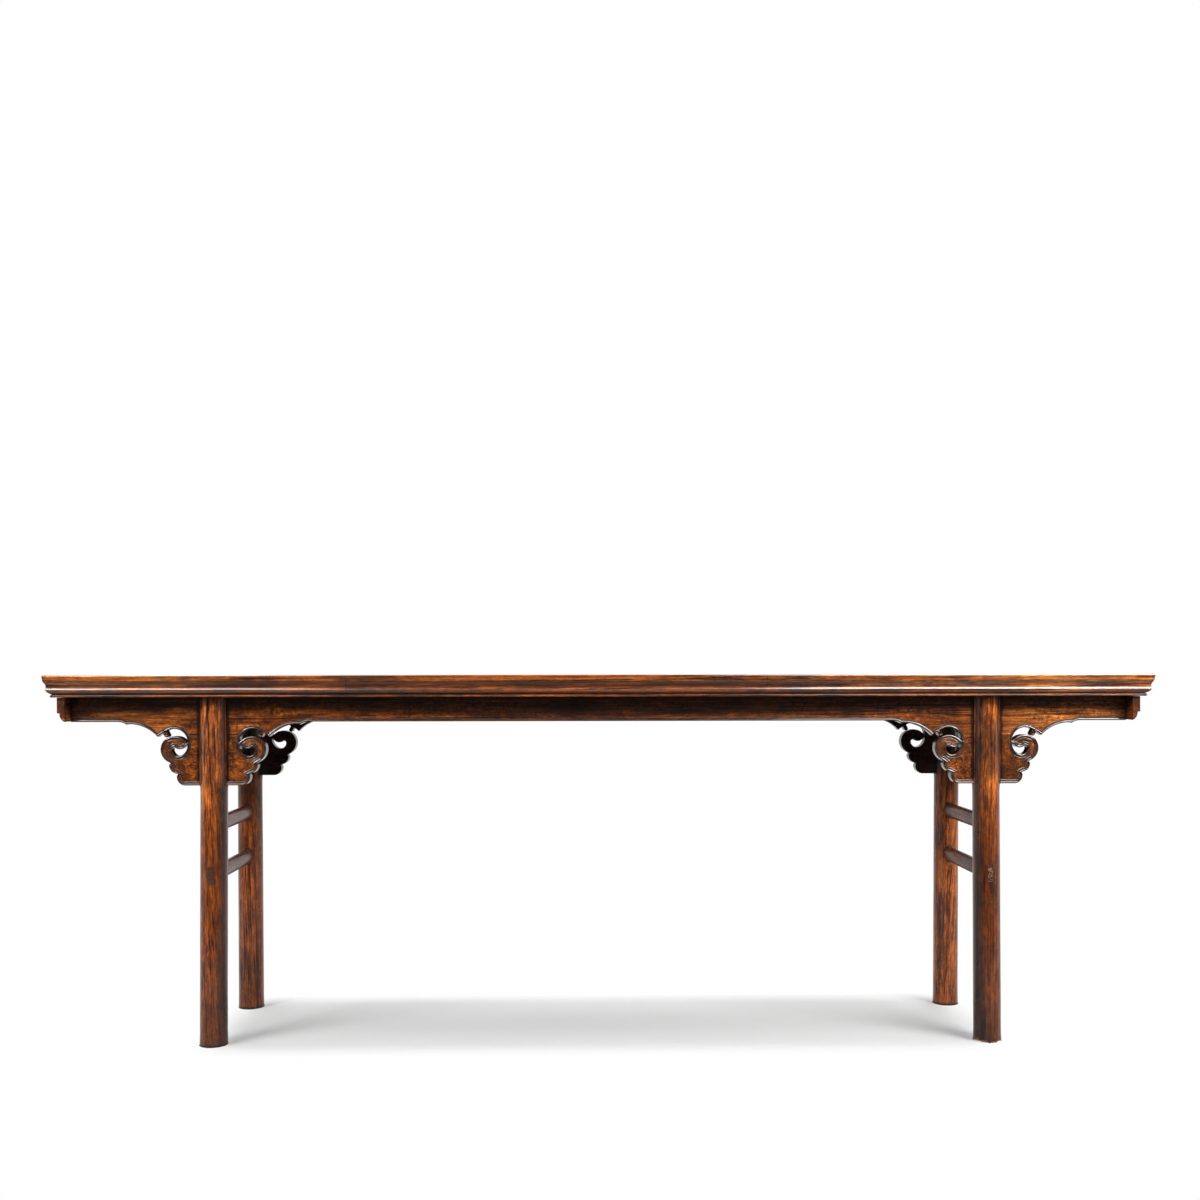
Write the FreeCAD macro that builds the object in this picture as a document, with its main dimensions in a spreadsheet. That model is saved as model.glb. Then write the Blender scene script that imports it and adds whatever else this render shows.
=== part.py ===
"""A long altar table with recessed round legs, moulded top frame and scroll spandrels."""
import FreeCAD, Part
import math
import os
import Sketcher

# Frame: the origin is on the floor under the middle of the table, X runs along its length,
# the front is at -Y and Z is up. Every size is in millimetres.

SIZES = {
    # Whole table
    "top_length": 2585.0,
    "top_depth": 480.0,
    "table_height": 870.0,
    # Moulded edge of the top frame, from the top down
    "lip_height": 15.0,
    "lip_batter": 2.5,
    "quirk": 1.0,
    "cove_height": 18.0,
    "nose_inset": 6.3,
    "throat_height": 10.0,
    "throat_inset": 16.0,
    "bead_height": 7.0,
    # Top frame joints
    "rail_width": 115.0,
    "corner_tenon_width": 40.0,
    "corner_tenon_height": 14.0,
    "corner_tenon_setback": 25.0,
    "corner_tenon_drop": 20.0,
    # Floating panel
    "panel_thickness": 16.0,
    "tongue_thickness": 7.0,
    "tongue_length": 9.0,
    "movement_gap": 1.5,
    # Dovetailed battens
    "batten_width": 46.0,
    "batten_height": 28.0,
    "dovetail_height": 6.0,
    "dovetail_width": 30.0,
    "dovetail_flare": 3.0,
    "batten_leg_gap": 76.0,
    "batten_tenon_length": 15.0,
    "batten_tenon_width": 26.0,
    "batten_tenon_height": 14.0,
    # Legs
    "leg_end_setback": 376.5,
    "leg_front_setback": 76.0,
    "leg_splay": 12.0,
    "leg_top_diameter": 65.0,
    "leg_foot_diameter": 66.0,
    "leg_tenon_width": 30.0,
    "leg_tenon_thickness": 11.0,
    "leg_tenon_height": 30.0,
    # Long aprons and spandrels
    "board_thickness": 26.0,
    "apron_height": 58.0,
    "scroll_reach": 125.5,
    "apron_tongue_thickness": 8.0,
    "apron_tongue_height": 6.0,
    "apron_tenon_length": 8.0,
    "apron_tenon_thickness": 12.0,
    "apron_tenon_margin": 12.0,
    # End aprons
    "end_apron_thickness": 18.0,
    "end_apron_inset": 25.5,
    "end_apron_setback": 26.0,
    "end_apron_height": 57.0,
    "end_lobe_height": 20.0,
    "end_lobe_step": 6.0,
    # Side stretchers
    "stretcher_width": 30.0,
    "stretcher_height": 38.0,
    "upper_stretcher_drop": 303.0,
    "stretcher_pitch": 115.0,
    "stretcher_tenon_width": 12.5,
    "blind_tenon_depth": 18.0,
    "wedge_height": 5.0,
    "wedge_tip": 2.0,
    # Working values
    "overrun": 40.0,
}

BATTEN_COUNT = 5

# Scroll outlines, seen from the front beside the leg: across from the leg's middle and up
# from the joint between apron and spandrel, as shares of the scroll's reach. A third share is
# the radius of the arc that leads to the next point, positive where the arc turns left.
APRON_SCROLL_shares = (
    (1.785, 0.335, -0.28),
    (1.622, 0.282, 0.0),
    (1.586, 0.295, -0.724),
    (1.040, 0.053, -0.39),
    (0.944, 0.122, 0.0),
    (0.907, 0.050, 0.044),
    (0.837, 0.088, 0.0),
    (0.874, 0.159, -0.251),
    (0.487, 0.0, 0.0),
)
SPANDREL_SCROLL_shares = (
    (0.487, 0.0, -0.251),
    (0.484, -0.047, 0.0),
    (0.585, 0.032, 0.301),
    (0.928, -0.018, 0.262),
    (0.823, -0.428, 0.0),
    (0.802, -0.444, 0.0),
    (0.828, -0.472, 0.158),
    (0.692, -0.637, 0.0),
    (0.664, -0.652, 0.0),
    (0.684, -0.682, 0.160),
    (0.545, -0.861, 0.0),
)
CURL_OPENING_shares = (
    (0.488, -0.100, -0.193),
    (0.635, -0.304, -0.121),
    (0.778, -0.206, -0.055),
    (0.722, -0.141, 0.123),
    (0.533, -0.132, 0.0),
)
CURVE_shares = {"cove": 0.85, "bead": 0.52}
SPANDREL_DROP_share = 0.861
SPANDREL_TONGUE_share = 0.8
APRON_EDGE_share = 0.335

doc = FreeCAD.newDocument("altar_table")
sheet = doc.addObject("Spreadsheet::Sheet", "Sizes")
for row, (alias, number) in enumerate(SIZES.items(), start=1):
    sheet.set(f"A{row}", alias)
    sheet.set(f"B{row}", str(number))
    sheet.setAlias(f"B{row}", alias)
doc.recompute()


class Length:
    """A length that keeps the sheet formula it comes from."""

    def __init__(self, value, formula):
        self.value = value
        self.formula = formula

    def __add__(self, other):
        other = as_length(other)
        return Length(self.value + other.value, f"({self.formula} + {other.formula})")

    def __sub__(self, other):
        other = as_length(other)
        return Length(self.value - other.value, f"({self.formula} - {other.formula})")

    def __mul__(self, factor):
        return Length(self.value * factor, f"{self.formula} * ({factor})")

    def __truediv__(self, factor):
        return Length(self.value / factor, f"{self.formula} / ({factor})")

    def __neg__(self):
        return Length(-self.value, f"(-1 * {self.formula})")


def as_length(number):
    """Return a length, from a length or from zero."""
    return number if isinstance(number, Length) else Length(float(number), f"{float(number)}")


def size(alias):
    """Return the length that a cell of the sheet holds."""
    return Length(float(sheet.get(alias)), f"Sizes.{alias}")


def bind(feature, prop, length):
    """Tie one property of a feature to the sheet."""
    feature.setExpression(prop, as_length(length).formula)


def place(feature, x=0, y=0, z=0, turn=0):
    """Put a feature at a place that follows the sheet, turned about Z by some degrees."""
    feature.Placement = FreeCAD.Placement(FreeCAD.Vector(), FreeCAD.Rotation(turn, 0, 0))
    for axis, length in zip("xyz", (x, y, z)):
        if isinstance(length, Length):
            bind(feature, f"Placement.Base.{axis}", length)


def block(label, low, high):
    """Make a box from its low corner to its high corner."""
    box = doc.addObject("Part::Box", label)
    for side, first, last in zip(("Length", "Width", "Height"), low, high):
        bind(box, side, as_length(last) - first)
    place(box, *[as_length(corner) for corner in low])
    return box


def middle_block(label, centre, spans):
    """Make a box from its middle and its three sizes."""
    low = [as_length(c) - s / 2 for c, s in zip(centre, spans)]
    high = [as_length(c) + s / 2 for c, s in zip(centre, spans)]
    return block(label, low, high)


def join(label, pieces):
    """Fuse pieces into one."""
    fuse = doc.addObject("Part::MultiFuse", label)
    fuse.Shapes = pieces
    return fuse


def carve(label, base, tools):
    """Cut tools out of a base."""
    cut = doc.addObject("Part::Cut", label)
    cut.Base = base
    cut.Tool = tools[0] if len(tools) == 1 else join(label + "_tools", tools)
    return cut


def arc_through(start, end, radius):
    """Return the arc of a signed radius from start to end, turning left where it is positive."""
    chord = end - start
    left = FreeCAD.Vector(-chord.y, chord.x, 0).normalize()
    side = math.copysign(1, radius)
    rise = math.sqrt(max(radius ** 2 - (chord.Length / 2) ** 2, 0))
    centre = start + chord / 2 + left * side * rise
    return Part.Arc(start, centre - left * side * abs(radius), end)


def draw(sketch, outline):
    """Draw a closed outline of (across, up) or (across, up, radius) corners, each tied to the sheet."""
    corners = [FreeCAD.Vector(as_length(c[0]).value, as_length(c[1]).value, 0) for c in outline]
    rules = []
    bound = []
    starts = []
    ends = []
    for index, corner in enumerate(outline):
        start = corners[index]
        end = corners[(index + 1) % len(corners)]
        bend = as_length(corner[2]).value if len(corner) > 2 else 0
        if bend:
            edge = sketch.addGeometry(arc_through(start, end, bend), False)
            rules.append(Sketcher.Constraint("Radius", edge, abs(bend)))
            bound.append(corner[2] if bend > 0 else -corner[2])
        else:
            edge = sketch.addGeometry(Part.LineSegment(start, end), False)
        gap_first, gap_last = (sketch.getPoint(edge, point).distanceToPoint(start) for point in (1, 2))
        forward = gap_first < gap_last
        starts.append((edge, 1 if forward else 2))
        ends.append((edge, 2 if forward else 1))
    for index, corner in enumerate(outline):
        edge, point = starts[index]
        rules.append(Sketcher.Constraint("DistanceX", edge, point, corners[index].x))
        bound.append(as_length(corner[0]))
        rules.append(Sketcher.Constraint("DistanceY", edge, point, corners[index].y))
        bound.append(as_length(corner[1]))
    first_bound = sketch.ConstraintCount
    sketch.addConstraint(rules)
    for offset, length in enumerate(bound):
        sketch.setExpression(f"Constraints[{first_bound + offset}]", length.formula)
    joints = [Sketcher.Constraint("Coincident", *ends[i - 1], *starts[i]) for i in range(len(outline))]
    sketch.addConstraint(joints)


def board(label, plane, outlines, thickness):
    """Pad outlines drawn on an origin plane into a body, half the thickness to each side."""
    body = doc.addObject("PartDesign::Body", label)
    sketch = body.newObject("Sketcher::SketchObject", label + "_outline")
    origin_plane = next(o for o in body.Origin.OriginFeatures if o.Role == plane)
    sketch.AttachmentSupport = [(origin_plane, "")]
    sketch.MapMode = "FlatFace"
    doc.recompute()
    for outline in outlines:
        draw(sketch, outline)
    pad = body.newObject("PartDesign::Pad", label + "_pad")
    pad.Profile = sketch
    pad.SideType = "Symmetric"
    bind(pad, "Length", thickness)
    return body


# Levels and places that several pieces share
top_length = size("top_length")
top_depth = size("top_depth")
table_height = size("table_height")
lip_height = size("lip_height")
quirk = size("quirk")
bead_height = size("bead_height")
frame_thickness = lip_height + quirk * 2 + size("cove_height") + size("throat_height") + bead_height
frame_bottom = table_height - frame_thickness
rail_width = size("rail_width")
overrun = size("overrun")
panel_bottom = table_height - size("panel_thickness")
tongue_top = panel_bottom + size("tongue_thickness")
groove_depth = size("tongue_length") + size("movement_gap")
leg_x = top_length / 2 - size("leg_end_setback")
leg_y = top_depth / 2 - size("leg_front_setback")
upper_stretcher_level = frame_bottom - size("upper_stretcher_drop")
lower_stretcher_level = upper_stretcher_level - size("stretcher_pitch")
board_thickness = size("board_thickness")
reach = size("scroll_reach")
apron_bottom = frame_bottom - size("apron_height")
joint_level = apron_bottom - reach * APRON_EDGE_share
tongue_height = size("apron_tongue_height")
tongue_half = size("apron_tongue_thickness") / 2
end_face = top_length / 2 - size("end_apron_inset")
end_thickness = size("end_apron_thickness")
end_middle = end_face - end_thickness / 2


def edge_profile(outer, inner, slot_middle):
    """Return the moulded section of a top rail, from its outer edge in to its inner edge."""
    lip_foot = outer + size("lip_batter")
    lip_level = table_height - lip_height
    cove_top = lip_level - quirk
    nose_level = cove_top - size("cove_height")
    throat_level = nose_level - size("throat_height")
    bead_edge = outer + size("throat_inset") + quirk
    return [
        (outer, table_height),
        (lip_foot, lip_level),
        (lip_foot + quirk, lip_level),
        (lip_foot + quirk, cove_top),
        (lip_foot, cove_top, -size("cove_height") * CURVE_shares["cove"]),
        (outer + size("nose_inset"), nose_level, size("throat_inset")),
        (outer + size("throat_inset"), throat_level),
        (bead_edge, throat_level),
        (bead_edge, throat_level - quirk, bead_height * CURVE_shares["bead"]),
        (bead_edge, frame_bottom),
        (slot_middle - tongue_half, frame_bottom),
        (slot_middle - tongue_half, frame_bottom + tongue_height),
        (slot_middle + tongue_half, frame_bottom + tongue_height),
        (slot_middle + tongue_half, frame_bottom),
        (inner, frame_bottom),
        (inner, panel_bottom),
        (inner - groove_depth, panel_bottom),
        (inner - groove_depth, tongue_top),
        (inner, tongue_top),
        (inner, table_height),
    ]


def corner_tenons(label, x_sign):
    """Make the blocks of the two corner tenons at one end of the top."""
    blocks = []
    tenon_width = size("corner_tenon_width")
    for side, y_sign in (("front", -1), ("back", 1)):
        tenon_x = (top_length / 2 - (rail_width + size("corner_tenon_setback")) / 2) * x_sign
        tenon_y = (top_depth / 2 - rail_width / 2) * y_sign
        tenon_z = table_height - size("corner_tenon_drop") - size("corner_tenon_height") / 2
        spans = (rail_width - size("corner_tenon_setback"), tenon_width, size("corner_tenon_height"))
        blocks.append(middle_block(f"{label}_{side}", (tenon_x, tenon_y, tenon_z), spans))
    return blocks


def mitre_tool(label, x_sign, y_sign, on_end_side):
    """Make the prism on one side of a corner's mitre line, which the rail of the other side loses."""
    far_x = (top_length / 2 + overrun) * x_sign
    far_y = (top_depth / 2 + overrun) * y_sign
    near_x = (top_length / 2 - rail_width - overrun) * x_sign
    near_y = (top_depth / 2 - rail_width - overrun) * y_sign
    third = (far_x, near_y) if on_end_side else (near_x, far_y)
    triangle = [(far_x, far_y), third, (near_x, near_y)]
    return board(label, "XY_Plane", [triangle], (table_height + overrun) * 2)


def leg_tenon_blocks(label, y_middle, x_middle):
    """Make the two top tenons of one leg, or their mortises."""
    prong_offset = (board_thickness + size("leg_top_diameter")) / 4
    spans = (size("leg_tenon_width"), size("leg_tenon_thickness"), size("leg_tenon_height"))
    tenon_z = frame_bottom + size("leg_tenon_height") / 2
    return [middle_block(f"{label}_{side}", (x_middle, y_middle + prong_offset * sign, tenon_z), spans)
            for side, sign in (("outer", -1), ("inner", 1))]


def batten_places():
    """Return where the battens lie along the top."""
    outer = leg_x - size("batten_leg_gap")
    return [outer * (index * 2 / (BATTEN_COUNT - 1) - 1) for index in range(BATTEN_COUNT)]


def batten_tenon(label, x_middle, y_sign):
    """Make the tenon of one batten end, or its mortise."""
    spans = (size("batten_tenon_width"), size("batten_tenon_length"), size("batten_tenon_height"))
    tenon_y = (top_depth / 2 - rail_width + size("batten_tenon_length") / 2) * y_sign
    return middle_block(label, (x_middle, tenon_y, panel_bottom - size("batten_height") / 2), spans)


def long_rail(label, y_sign):
    """Build a long rail: moulded edge, mitred ends with tenons, mortises for legs and battens."""
    outline = edge_profile(-top_depth / 2, -top_depth / 2 + rail_width, -leg_y)
    rail = board(label + "_blank", "YZ_Plane", [outline], top_length)
    mitres = [mitre_tool(f"{label}_mitre_{name}", sign, -1, True)
              for name, sign in (("left", -1), ("right", 1))]
    mitred = carve(label + "_mitred", rail, mitres)
    tenons = corner_tenons(label + "_tenon_left", -1)[:1] + corner_tenons(label + "_tenon_right", 1)[:1]
    tenoned = join(label + "_tenoned", [mitred] + tenons)
    mortises = []
    for name, sign in (("left", -1), ("right", 1)):
        mortises += leg_tenon_blocks(f"{label}_leg_mortise_{name}", -leg_y, leg_x * sign)
    for index, x_middle in enumerate(batten_places()):
        mortises.append(batten_tenon(f"{label}_batten_mortise_{index}", x_middle, -1))
    rail = carve(label, tenoned, mortises)
    place(rail, turn=0 if y_sign < 0 else 180)
    return rail


def end_rail(label, x_sign):
    """Build an end rail: the same moulding, mitred and mortised for the long rails' tenons."""
    outline = edge_profile(-top_length / 2, -top_length / 2 + rail_width, -end_middle)
    rail = board(label + "_blank", "XZ_Plane", [outline], top_depth)
    mitres = [mitre_tool(f"{label}_mitre_{name}", -1, sign, False)
              for name, sign in (("front", -1), ("back", 1))]
    rail = carve(label, rail, mitres + corner_tenons(label + "_mortise", -1))
    place(rail, turn=0 if x_sign < 0 else 180)
    return rail


def dovetail_outline(x_middle, low):
    """Return the section of a dovetailed key that widens upwards from its low level."""
    half = size("dovetail_width") / 2
    flare = size("dovetail_flare")
    high = low + size("dovetail_height")
    return [(x_middle - half, low), (x_middle + half, low),
            (x_middle + half + flare, high), (x_middle - half - flare, high)]


def panel_board(label, y_sign):
    """Build one half of the floating panel, tongued all round, with trenches for the battens."""
    inner_x = top_length / 2 - rail_width
    inner_y = top_depth / 2 - rail_width
    tongue = size("tongue_length")
    edges = sorted((0, 1), key=lambda share: share * y_sign)
    field_y = [inner_y * y_sign * share for share in edges]
    tongue_y = [(inner_y + tongue) * y_sign * share for share in edges]
    field = block(label + "_field", (-inner_x, field_y[0], panel_bottom),
                  (inner_x, field_y[1], table_height))
    rim = block(label + "_tongue", (-inner_x - tongue, tongue_y[0], panel_bottom),
                (inner_x + tongue, tongue_y[1], tongue_top))
    seam_half = size("tongue_thickness") / 2
    seam_middle = table_height - size("panel_thickness") / 2
    seam = middle_block(label + "_seam", (as_length(0), as_length(0), seam_middle),
                        (inner_x * 2, tongue, seam_half * 2))
    trenches = []
    for index, x in enumerate(batten_places()):
        outline = dovetail_outline(x, panel_bottom)
        trenches.append(board(f"{label}_trench_{index}", "XZ_Plane", [outline], inner_y * 2))
    if y_sign < 0:
        whole = join(label + "_whole", [field, rim])
        return carve(label, whole, trenches + [seam])
    whole = join(label + "_whole", [field, rim, seam])
    return carve(label, whole, trenches)


def batten(label, x_middle):
    """Build a batten: a bar under the panel, dovetailed up into it, tenoned into the long rails."""
    half = size("batten_width") / 2
    low = panel_bottom - size("batten_height")
    length = top_depth - rail_width * 2
    bar = board(label + "_bar", "XZ_Plane",
                [[(x_middle - half, low), (x_middle + half, low),
                  (x_middle + half, panel_bottom), (x_middle - half, panel_bottom)]], length)
    key = board(label + "_key", "XZ_Plane", [dovetail_outline(x_middle, panel_bottom)], length)
    tenons = [batten_tenon(f"{label}_tenon_{name}", x_middle, sign)
              for name, sign in (("front", -1), ("back", 1))]
    return join(label, [bar, key] + tenons)


def leg_cone(label, y_sign=-1):
    """Make a leg's round tapered shaft, longer than the leg and leaning out to its foot.

    The frame is the front leg's own, where the back leg stands across the table.
    """
    cone = doc.addObject("Part::Cone", label)
    bind(cone, "Radius1", size("leg_foot_diameter") / 2)
    bind(cone, "Radius2", size("leg_top_diameter") / 2)
    bind(cone, "Height", frame_bottom + overrun * 2)
    cone.Placement = FreeCAD.Placement(FreeCAD.Vector(), FreeCAD.Rotation(FreeCAD.Vector(y_sign, 0, 0), 1))
    lean = f"{size('leg_splay').formula} / {frame_bottom.formula}"
    cone.setExpression("Placement.Rotation.Angle", f"atan({lean})")
    foot = f"{y_sign} * ({size('leg_splay').formula} + {overrun.formula} * {lean})"
    across = "0" if y_sign < 0 else (leg_y * 2).formula
    cone.setExpression("Placement.Base.y", f"{across} + {foot}")
    bind(cone, "Placement.Base.z", -overrun)
    return cone


def facing(y, y_sign):
    """Return a place beside the front leg, or the matching place beside the back leg."""
    return y if y_sign < 0 else -y + leg_y * 2


def stretcher_socket(label, level, through, y_sign=-1):
    """Make the block of a side stretcher's tenon in a leg, which is also its mortise."""
    half_width = size("stretcher_tenon_width") / 2
    half_height = size("stretcher_height") / 2
    outer = -size("leg_foot_diameter") if through else -size("blind_tenon_depth") - size("leg_splay") / 2
    reach_y = sorted((facing(outer, y_sign), facing(overrun, y_sign)), key=lambda length: length.value)
    return block(label, (-half_width, reach_y[0], level - half_height),
                 (half_width, reach_y[1], level + half_height))


def tenon_wedge(label, level, z_sign, y_sign):
    """Make the wedge above or below a through tenon, thick at the leg's outer face."""
    edge = level + size("stretcher_height") / 2 * z_sign
    outer = facing(-size("leg_foot_diameter"), y_sign)
    inner = facing(size("wedge_tip"), y_sign)
    outline = [(outer, edge), (outer, edge - size("wedge_height") * z_sign),
               (inner, edge - size("wedge_tip") * z_sign), (inner, edge)]
    return board(label, "YZ_Plane", [outline], size("stretcher_tenon_width"))


def leg(label, x_sign, y_sign):
    """Build a leg: forked over the boards, with top tenons and mortises for two stretchers."""
    cone = leg_cone(label + "_shaft")
    trim = block(label + "_trim", (-overrun * 2, -overrun * 2, 0), (overrun * 2, overrun * 2, frame_bottom))
    shaft = doc.addObject("Part::Common", label + "_turned")
    shaft.Base = cone
    shaft.Tool = trim
    body = join(label + "_tenoned", [shaft] + leg_tenon_blocks(label + "_tenon", as_length(0), as_length(0)))
    board_half = board_thickness / 2
    fork = block(label + "_fork", (-overrun * 2, -board_half, joint_level - reach * SPANDREL_DROP_share),
                 (overrun * 2, board_half, frame_bottom))
    upper = stretcher_socket(label + "_upper_mortise", upper_stretcher_level, False)
    lower = stretcher_socket(label + "_lower_mortise", lower_stretcher_level, True)
    finished = carve(label, body, [fork, upper, lower])
    place(finished, leg_x * x_sign, leg_y * y_sign, turn=0 if y_sign < 0 else 180)
    return finished


def side_stretcher(label, level, x_sign, through):
    """Build an oval side stretcher, scribed to both round legs and tenoned into them."""
    oval = doc.addObject("Part::Ellipse", label + "_oval")
    bind(oval, "MajorRadius", size("stretcher_height") / 2)
    bind(oval, "MinorRadius", size("stretcher_width") / 2)
    oval.Placement = FreeCAD.Placement(FreeCAD.Vector(), FreeCAD.Rotation(FreeCAD.Vector(0, 1, 0), -90)
                                       * FreeCAD.Rotation(FreeCAD.Vector(1, 0, 0), 90))
    bind(oval, "Placement.Base.z", level)
    bar = doc.addObject("Part::Extrusion", label + "_bar")
    bar.Base = oval
    bar.DirMode = "Custom"
    bar.Dir = FreeCAD.Vector(0, 1, 0)
    bar.Solid = True
    bind(bar, "LengthFwd", leg_y * 2)
    cones = [leg_cone(f"{label}_{name}_leg", sign) for name, sign in (("front", -1), ("back", 1))]
    scribed = carve(label + "_scribed", bar, cones)
    pieces = [scribed]
    for cone, name, sign in zip(cones, ("front", "back"), (-1, 1)):
        tenon = doc.addObject("Part::Common", f"{label}_{name}_tenon")
        tenon.Base = stretcher_socket(f"{label}_{name}_socket", level, through, sign)
        tenon.Tool = cone
        pieces.append(tenon)
    if not through:
        stretcher = join(label, pieces)
    else:
        whole = join(label + "_whole", pieces)
        wedges = []
        for name, y_sign in (("front", -1), ("back", 1)):
            for part, z_sign in (("top", 1), ("low", -1)):
                wedges.append(tenon_wedge(f"{label}_{name}_{part}_cut", level, z_sign, y_sign))
        stretcher = carve(label, whole, wedges)
    place(stretcher, leg_x * x_sign, -leg_y)
    return stretcher


def wedge_set(label, x_sign):
    """Build the four wedges that spread the through tenons of one lower stretcher."""
    wedges = []
    for name, y_sign in (("front", -1), ("back", 1)):
        cone = leg_cone(f"{label}_{name}_leg", y_sign)
        for part, z_sign in (("top", 1), ("low", -1)):
            wedge = doc.addObject("Part::Common", f"{label}_{name}_{part}")
            wedge.Base = tenon_wedge(f"{label}_{name}_{part}_blank", lower_stretcher_level, z_sign, y_sign)
            wedge.Tool = cone
            wedges.append(wedge)
    group = doc.addObject("Part::Compound", label)
    group.Links = wedges
    place(group, leg_x * x_sign, -leg_y)
    return group


def scroll_side(shares, x_middle, x_sign):
    """Return one side's outline beside a leg: inwards on the left of the leg, outwards on its right."""
    points = []
    for x, z, bend in shares:
        points.append((x_middle + reach * (x * x_sign), joint_level + reach * z, reach * bend))
    if x_sign < 0:
        return points
    bends = [point[2] for point in points]
    return [(*points[i][:2], bends[i - 1] if i else as_length(0)) for i in reversed(range(len(points)))]


def apron_tenon(label, x_sign, y_middle):
    """Make the tenon at one end of a long apron, or its mortise in the end apron."""
    spans = (size("apron_tenon_length"), size("apron_tenon_thickness"),
             size("apron_height") - size("apron_tenon_margin") * 2)
    tenon_x = (end_face - end_thickness + size("apron_tenon_length") / 2) * x_sign
    return middle_block(label, (tenon_x, y_middle, frame_bottom - size("apron_height") / 2), spans)


def spandrel_tongue(label, x_middle):
    """Make the tongue on a spandrel's top edge, or its groove in the apron."""
    half = reach * SPANDREL_TONGUE_share / 2
    return block(label, (x_middle - half, -tongue_half, joint_level),
                 (x_middle + half, tongue_half, joint_level + tongue_height))


def long_apron(label, y_sign):
    """Build a long apron, cut out over the scrolls at both legs, tenoned into the end aprons."""
    end_x = end_face - end_thickness
    outline = [(-end_x, frame_bottom), (-end_x, apron_bottom)]
    for x_middle in (-leg_x, leg_x):
        outline += scroll_side(APRON_SCROLL_shares, x_middle, -1)
        outline += scroll_side(APRON_SCROLL_shares, x_middle, 1)
    outline += [(end_x, apron_bottom), (end_x, frame_bottom)]
    blank = board(label + "_blank", "XZ_Plane", [outline], board_thickness)
    tongue_x = top_length / 2 - rail_width
    tongue = block(label + "_tongue", (-tongue_x, -tongue_half, frame_bottom),
                   (tongue_x, tongue_half, frame_bottom + tongue_height))
    tenons = [apron_tenon(f"{label}_tenon_{name}", sign, as_length(0))
              for name, sign in (("left", -1), ("right", 1))]
    whole = join(label + "_whole", [blank, tongue] + tenons)
    grooves = [spandrel_tongue(f"{label}_groove_{name}", leg_x * sign)
               for name, sign in (("left", -1), ("right", 1))]
    apron = carve(label, whole, grooves)
    place(apron, 0, leg_y * y_sign)
    return apron


def spandrel(label, x_sign, y_sign):
    """Build a cloud-scroll spandrel: one board through the leg's fork, pierced in both curls."""
    middle = as_length(0)
    outline = scroll_side(SPANDREL_SCROLL_shares, middle, -1)
    outline += scroll_side(SPANDREL_SCROLL_shares, middle, 1)
    openings = [scroll_side(CURL_OPENING_shares, middle, sign) for sign in (-1, 1)]
    blank = board(label + "_blank", "XZ_Plane", [outline] + openings, board_thickness)
    piece = join(label, [blank, spandrel_tongue(label + "_tongue", middle)])
    place(piece, leg_x * x_sign, leg_y * y_sign)
    return piece


def end_apron(label, x_sign):
    """Build an end apron: a board under the end rail with a stepped and rounded lower edge."""
    bottom = frame_bottom - size("end_apron_height")
    shoulder = bottom + size("end_lobe_height")
    step_x = -end_face + size("end_lobe_step")
    inner_x = -end_face + end_thickness
    outline = [
        (-end_face, frame_bottom),
        (-end_face, shoulder),
        (step_x, shoulder, size("end_lobe_height")),
        (inner_x, bottom),
        (inner_x, frame_bottom),
    ]
    blank = board(label + "_blank", "XZ_Plane", [outline], top_depth - size("end_apron_setback") * 2)
    tongue_y = top_depth / 2 - rail_width
    tongue = block(label + "_tongue", (-end_middle - tongue_half, -tongue_y, frame_bottom),
                   (-end_middle + tongue_half, tongue_y, frame_bottom + tongue_height))
    whole = join(label + "_whole", [blank, tongue])
    mortises = [apron_tenon(f"{label}_mortise_{name}", -1, leg_y * sign)
                for name, sign in (("front", -1), ("back", 1))]
    apron = carve(label, whole, mortises)
    place(apron, turn=0 if x_sign < 0 else 180)
    return apron


# The table, piece by piece
pieces = [
    long_rail("front_top_rail", -1),
    long_rail("back_top_rail", 1),
    end_rail("left_top_rail", -1),
    end_rail("right_top_rail", 1),
    panel_board("front_panel_board", -1),
    panel_board("back_panel_board", 1),
    end_apron("left_end_apron", -1),
    end_apron("right_end_apron", 1),
    long_apron("front_apron", -1),
    long_apron("back_apron", 1),
]
for index, x_middle in enumerate(batten_places(), start=1):
    pieces.append(batten(f"top_batten_{index}", x_middle))
for depth_name, y_sign in (("front", -1), ("back", 1)):
    for side_name, x_sign in (("left", -1), ("right", 1)):
        pieces.append(leg(f"{depth_name}_{side_name}_leg", x_sign, y_sign))
        pieces.append(spandrel(f"{depth_name}_{side_name}_spandrel", x_sign, y_sign))
for side_name, x_sign in (("left", -1), ("right", 1)):
    pieces.append(side_stretcher(f"{side_name}_upper_stretcher", upper_stretcher_level, x_sign, False))
    pieces.append(side_stretcher(f"{side_name}_lower_stretcher", lower_stretcher_level, x_sign, True))
    pieces.append(wedge_set(f"{side_name}_tenon_wedges", x_sign))

doc.recompute()
for item in doc.Objects:
    if "Invalid" in item.State or "Error" in item.State:
        raise RuntimeError(f"{item.Label} failed: {item.State}")
for piece in pieces:
    if piece.Shape.isNull() or not piece.Shape.isValid():
        raise RuntimeError(f"{piece.Label} has no valid shape")

os.makedirs("parts", exist_ok=True)
for piece in pieces:
    piece.Shape.exportStep(f"parts/{piece.Label}.step")
    box = piece.Shape.BoundBox
    print(piece.Label, len(piece.Shape.Solids), round(piece.Shape.Volume), [round(v, 1) for v in (
        box.XMin, box.YMin, box.ZMin, box.XMax, box.YMax, box.ZMax)])
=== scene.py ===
"""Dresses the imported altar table: carved beads, worn edges, aged lacquered wood, studio stage."""

import functools
import math
import random

import bmesh
import bpy
from bpy.props import FloatProperty, FloatVectorProperty, IntProperty, PointerProperty
from bpy.types import Operator, Panel, PropertyGroup
from mathutils import Matrix, Vector


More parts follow.
